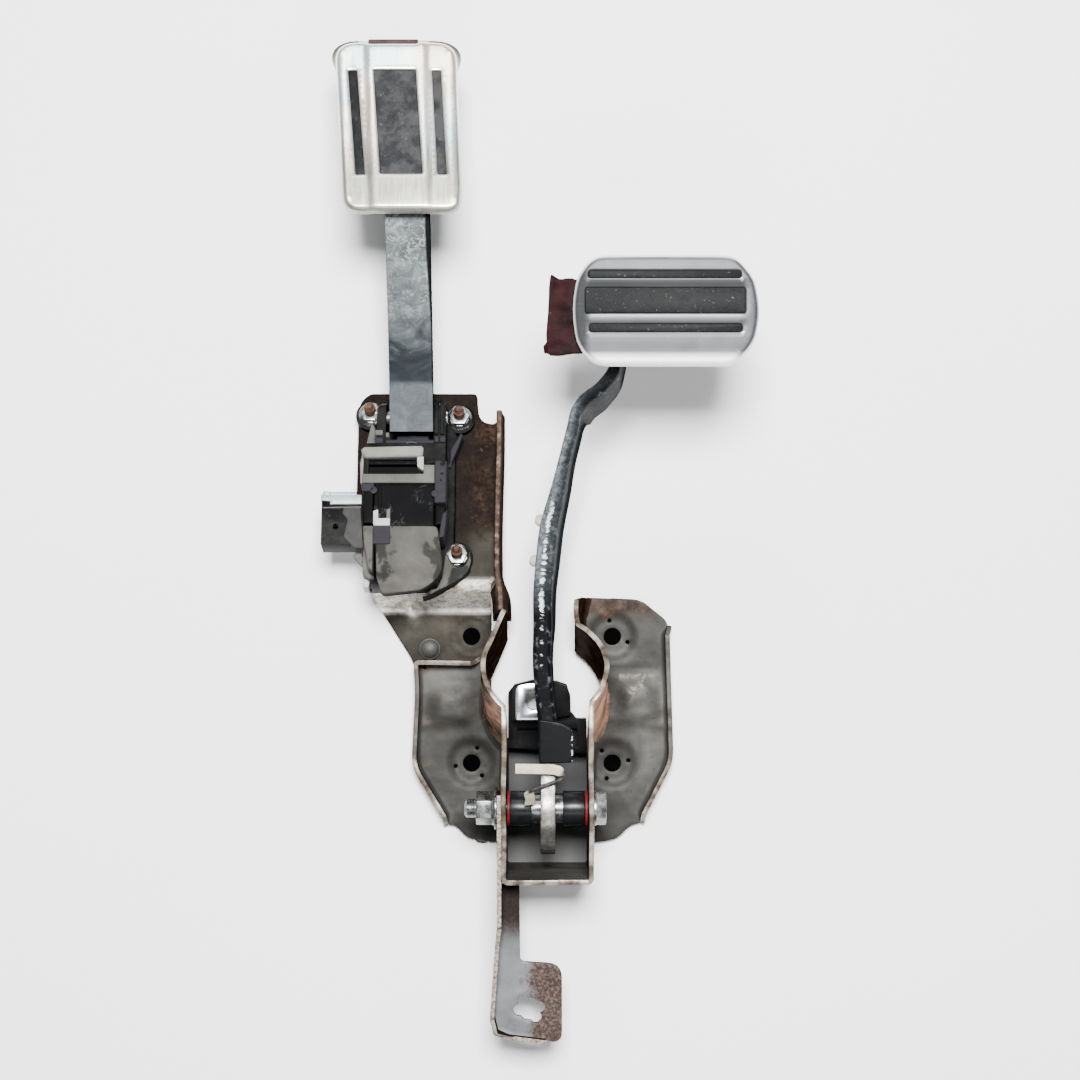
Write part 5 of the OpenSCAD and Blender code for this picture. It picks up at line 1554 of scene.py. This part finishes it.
block("right_latch", [(18.6, -38.6), (21.6, -38.0), (23.4, -22.2), (20.6, -24.6)], 33.0, 12.0, M["column"], ("pedal_housing",), 0.8, 0.6)
block("cap_bar", [(-24.2, 10.0), (-22.8, 12.0), (8.8, 12.8), (10.2, 11.8), (9.6, 6.6), (-21.8, 5.8)], lambda x, y: 38.2 - 0.018 * (y - 9.2) ** 2 * 3, 31.5, M["capbar"], ("spring_cap",), [1, 1.4, 1.2, 1, 0.8, 0.8], 1.1, 1.8)
block("cap_end", [(6.6, 2.0), (9.4, 0.2), (10.2, 0.2), (10.2, 6.8), (6.6, 6.8)], lambda x, y: 33.0 + 0.62 * np.clip(y, 0, 7), 28.0, M["white"], ("spring_cap",), 0.5, 0.4, 1.2)
block("cap_left_lip", [(-24.4, -7.4), (-23.4, -7.4), (-22.8, 5.8), (-23.6, 9.8), (-24.8, 4.0)], 33.0, 14.0, M["capbar"], ("spring_cap",), 0.4, 0.4, 1.4)
block("recess_back", [(-22.4, 3.2), (6.4, 3.2), (6.4, 5.8), (-22.4, 5.8)], 33.4, 28.0, M["label"], ("spring_cap",), 0.4, 0.4)
block("recess_floor", [(-22.6, -3.2), (10.0, -3.2), (10.0, 6.2), (-22.6, 6.2)], 28.8, 27.8, M["label"], ("spring_cap",), 0.4, 0.4)
block("block_top", [(10.6, 2.4), (22.0, 5.2), (22.0, 15.2), (10.6, 15.2)], 34.4, 32.0, M["housing"], ("pedal_housing",), 0.8, 0.8)
# bar and knuckles at the foot of the cheeks
block("cheek_bar", [(-12.4, 17.2), (18.8, 17.2), (18.8, 19.8), (-12.4, 19.8)], 27.8, 24.0, M["column"], ("pedal_housing",), 0.5, 1.0)
for k, (x0, x1, y0, y1, zt) in enumerate(((-17.0, -12.6, 16.6, 20.0, 30.5), (-17.0, -12.8, 21.0, 24.0, 31.5), (-12.4, -9.4, 20.6, 23.4, 29.0), (15.6, 18.0, 17.0, 20.6, 31.0), (18.6, 21.8, 17.0, 20.6, 31.0))):
    block("knuckle_%d" % (k + 1), [(x0, y0), (x1, y0), (x1, y1), (x0, y1)], zt, 14.0, M["frame"] if k in (1, 2) else M["column"], ("pedal_housing",), 0.6, 0.6, 1.4)
for k, x0 in enumerate((15.6, 18.6)):
    block("cheek_rib_%d" % (k + 1), [(x0, 21.4), (x0 + 2.4, 21.4), (x0 + 2.4, 42.0), (x0, 42.0)], lambda x, y: 33.2 - 0.6 * np.abs(y - 31) * 0.3, 12.0, M["housing"], ("pedal_housing",), 0.5, 0.6, 1.6)
block("stay_left", [(-23.6, 18), (-20.4, 15.4), (-18.0, 15.4), (-18.0, 30), (-20.2, 34)], 16.0, 3.0, M["frame"], ("pedal_housing",), 1.0, 0.8, 1.8)
block("stay_right", [(23.4, 8), (25.8, 14), (31.0, 27.5), (29.2, 29), (23.6, 18)], 12.0, 3.0, M["column"], ("pedal_housing",), 1.0, 0.8, 1.8)
# socket with its pale strip, dusty flank and ribs
skin("connector_shell", M["socket"], "bracket", 0.5)
skin("connector_lock", M["tin"], "bracket", 0.3)
block("socket_strip", [(-46.4, -15.4), (-41.4, -15.8), (-41.4, -17.6), (-24.0, -17.4), (-24.0, -12.1), (-46.4, -12.1)], 27.0, 24.0, M["tin"], ("connector_lock",), 0.4, 0.4, 1.8)
block("socket_flank", [(-33.6, -36.0), (-31.5, -26.0), (-34.6, -22.6), (-34.0, -19.4), (-24.6, -18.4), (-22.6, -42.4), (-27.6, -42.2), (-29.6, -40)], 26.5, 14.0, M["flank"], ("connector_shell",), 1.0, 0.6, 1.8)
block("socket_rib", [(-45.4, -19.8), (-24.2, -19.4), (-24.2, -18.6), (-45.4, -19.0)], 26.6, 22.0, M["frame"], ("connector_shell",), 0.2, 0.2, 1.8)
block("socket_web", [(-29.2, -44.2), (-28.0, -43.2), (-20.4, -52.8), (-21.4, -53.6)], 19.0, 16.0, M["frame"], ("connector_shell",), 0.3, 0.3, 1.4)
block("socket_foot", [(-23.6, -61.2), (-20.2, -62.0), (-19.4, -57.6), (-22.6, -56.6)], 16.0, 4.0, M["white"], ("connector_shell",), 1.0, 0.7, 1.2)
block("socket_side", [(-23.2, -56.0), (-16.6, -60.6), (-16.6, -31.0), (-23.2, -31.0)], 22.0, 4.0, M["frame"], ("connector_shell",), 1.0, 0.7, 2.0)
skin("connector_terminals", M["contact"], "bracket", 0.1)
skin("sensor_board", M["board"], "bracket", 0.15)
skin("cover_screws", M["column"], "bracket", 0.2)
skin("accelerator_pin", M["bright"], "bracket", 0.3)
skin("stop_buffer", M["rubber"], "bracket", 0.3)


def coil(r, wire, z0, z1, turns, n=220, m=10):
    S = []
    a = np.arange(m) * math.tau / m
    for i in range(n):
        t = i / (n - 1)
        ease = t
        th = turns * math.tau * t
        c = np.array([3 + r * math.cos(th), 11 + r * math.sin(th), z0 + wire + (z1 - z0 - 2 * wire) * smooth01(ease * 1.0) * 1.0])
        rad = np.array([math.cos(th), math.sin(th), 0])
        S.append(c + (np.cos(a) * wire)[:, None] * rad + (np.sin(a) * wire)[:, None] * np.array([0, 0, 1.0]))
    V, F = loft(S)
    return acc(V), F


ANCH = acc([[3, 11, 31.0]])[0] * MM
for nm, r, w, turns in (("return_spring_outer", 6.3, 0.8, 5.5), ("return_spring_inner", 3.6, 0.6, 7.0)):
    V, F = coil(r, w, 19.2, 30.8, turns)
    ob = make(nm + "_coil", V, F, M["spring"], "bracket", (nm,), angle=60)
    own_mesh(ob)

# ---------------------------------------------------------------- floor, light and camera


def floor_mat():
    m = Mat("studio_floor")
    n = m.noise(3, 3, 0.5)
    col = m.ramp(n, [(0.3, (0.92, 0.92, 0.925, 1)), (0.7, (0.95, 0.95, 0.95, 1))])
    return m.done(col, 0.9, 0.0, spec=0.1)


me = bpy.data.meshes.new("floor")
me.from_pydata([(-6, -6, -0.0006), (6, -6, -0.0006), (6, 6, -0.0006), (-6, 6, -0.0006)], [], [[0, 1, 2, 3]])
me.materials.append(floor_mat())
flo = bpy.data.objects.new("floor", me)
bpy.context.scene.collection.objects.link(flo)


def shade_mat():
    m = Mat("floor_shade")
    n = m.noise(90, 3, 0.5)
    return m.done(m.ramp(n, [(0.3, (0.0006, 0.0006, 0.0006, 1)), (0.7, (0.0012, 0.0012, 0.0012, 1))]), 0.9, 0.0, spec=0.0)


# painted shade for the floor seen through the channel, a little lighter towards its far end
def dark_card():
    m = Mat("floor_card")
    n = m.noise(40, 3, 0.5)
    y = m.xyz()[1]
    col = m.ramp(m.math("ADD", m.band(y, -0.060, -0.078, 0.0, 0.8), m.math("MULTIPLY", n, 0.2)), [(0.06, (0.055, 0.055, 0.055, 1)), (0.95, (0.078, 0.077, 0.076, 1))])
    return m.done(col, 0.9, 0.0, spec=0.0)


# painted shade: near-black discs on the floor behind the bolt holes, and a dark card on the floor behind the channel
shade = shade_mat()
me = bpy.data.meshes.new("channel_shade")
me.from_pydata([(x * MM, y * MM, -0.0004) for x, y in ((-20, -93), (26, -93), (26, -22), (-20, -22))], [], [[0, 1, 2, 3]])
me.materials.append(dark_card())
o = bpy.data.objects.new("channel_shade", me)
bpy.context.scene.collection.objects.link(o)
for i, (hx, hy) in enumerate(((40, 36), (40, -36), (-40, -36), (-40, 36))):
    ring = circle(hx, hy, 11.0, 40)
    me = bpy.data.meshes.new("hole_shade_%d" % i)
    me.from_pydata([(float(a) * MM, float(b) * MM, -0.0004) for a, b in ring], [], [list(range(40))])
    me.materials.append(shade)
    o = bpy.data.objects.new("hole_shade_%d" % i, me)
    bpy.context.scene.collection.objects.link(o)


def area(name, loc, aim, size, power, color=(1, 1, 1)):
    l = bpy.data.lights.new(name, "AREA")
    l.shape = "RECTANGLE"
    l.size, l.size_y = size
    l.energy = power
    l.color = color
    o = bpy.data.objects.new(name, l)
    o.location = loc
    o.rotation_euler = (Vector(aim) - Vector(loc)).to_track_quat("-Z", "Y").to_euler()
    bpy.context.scene.collection.objects.link(o)
    return o


area("key", (0.04, 0.60, 1.95), (0, 0.08, 0.04), (0.52, 0.46), 160)
area("left", (-1.5, 0.35, 1.3), (0, 0.06, 0.05), (0.5, 0.9), 1)
area("right", (1.5, 0.35, 1.3), (0, 0.06, 0.05), (0.5, 0.9), 2)
area("back", (-0.18, 1.70, 1.42), (-0.07, 0.32, 0.10), (0.56, 0.30), 11)
area("low", (0.10, -0.95, 1.70), (0, 0.05, 0.05), (1.1, 0.5), 11)


def studio_world():
    w = bpy.data.worlds.new("studio")
    w.use_nodes = True
    t = w.node_tree
    bg = next(n for n in t.nodes if n.type == "BACKGROUND")
    tc = t.nodes.new("ShaderNodeTexCoord")
    sp = t.nodes.new("ShaderNodeSeparateXYZ")
    t.links.new(tc.outputs["Generated"], sp.inputs[0])
    r = t.nodes.new("ShaderNodeValToRGB")
    e = r.color_ramp.elements
    e[0].position, e[0].color = 0.0, (0.62, 0.63, 0.65, 1)
    e[1].position, e[1].color = 1.0, (0.125, 0.128, 0.134, 1)
    m = e.new(0.24)
    m.color = (0.085, 0.087, 0.091, 1)
    t.links.new(sp.outputs["Z"], r.inputs["Fac"])
    t.links.new(r.outputs["Color"], bg.inputs["Color"])
    bg.inputs["Strength"].default_value = 1.0
    return w


bpy.context.scene.world = studio_world()

cam = bpy.data.cameras.new("camera")
cam.sensor_width = 36
cam.lens = 76.02
cam.clip_start = 0.05
cam.clip_end = 30
co = bpy.data.objects.new("camera", cam)
co.location = (-0.0011, 0.0909, 1.3)
co.rotation_euler = (0, 0, 0)
bpy.context.scene.collection.objects.link(co)
bpy.context.scene.camera = co
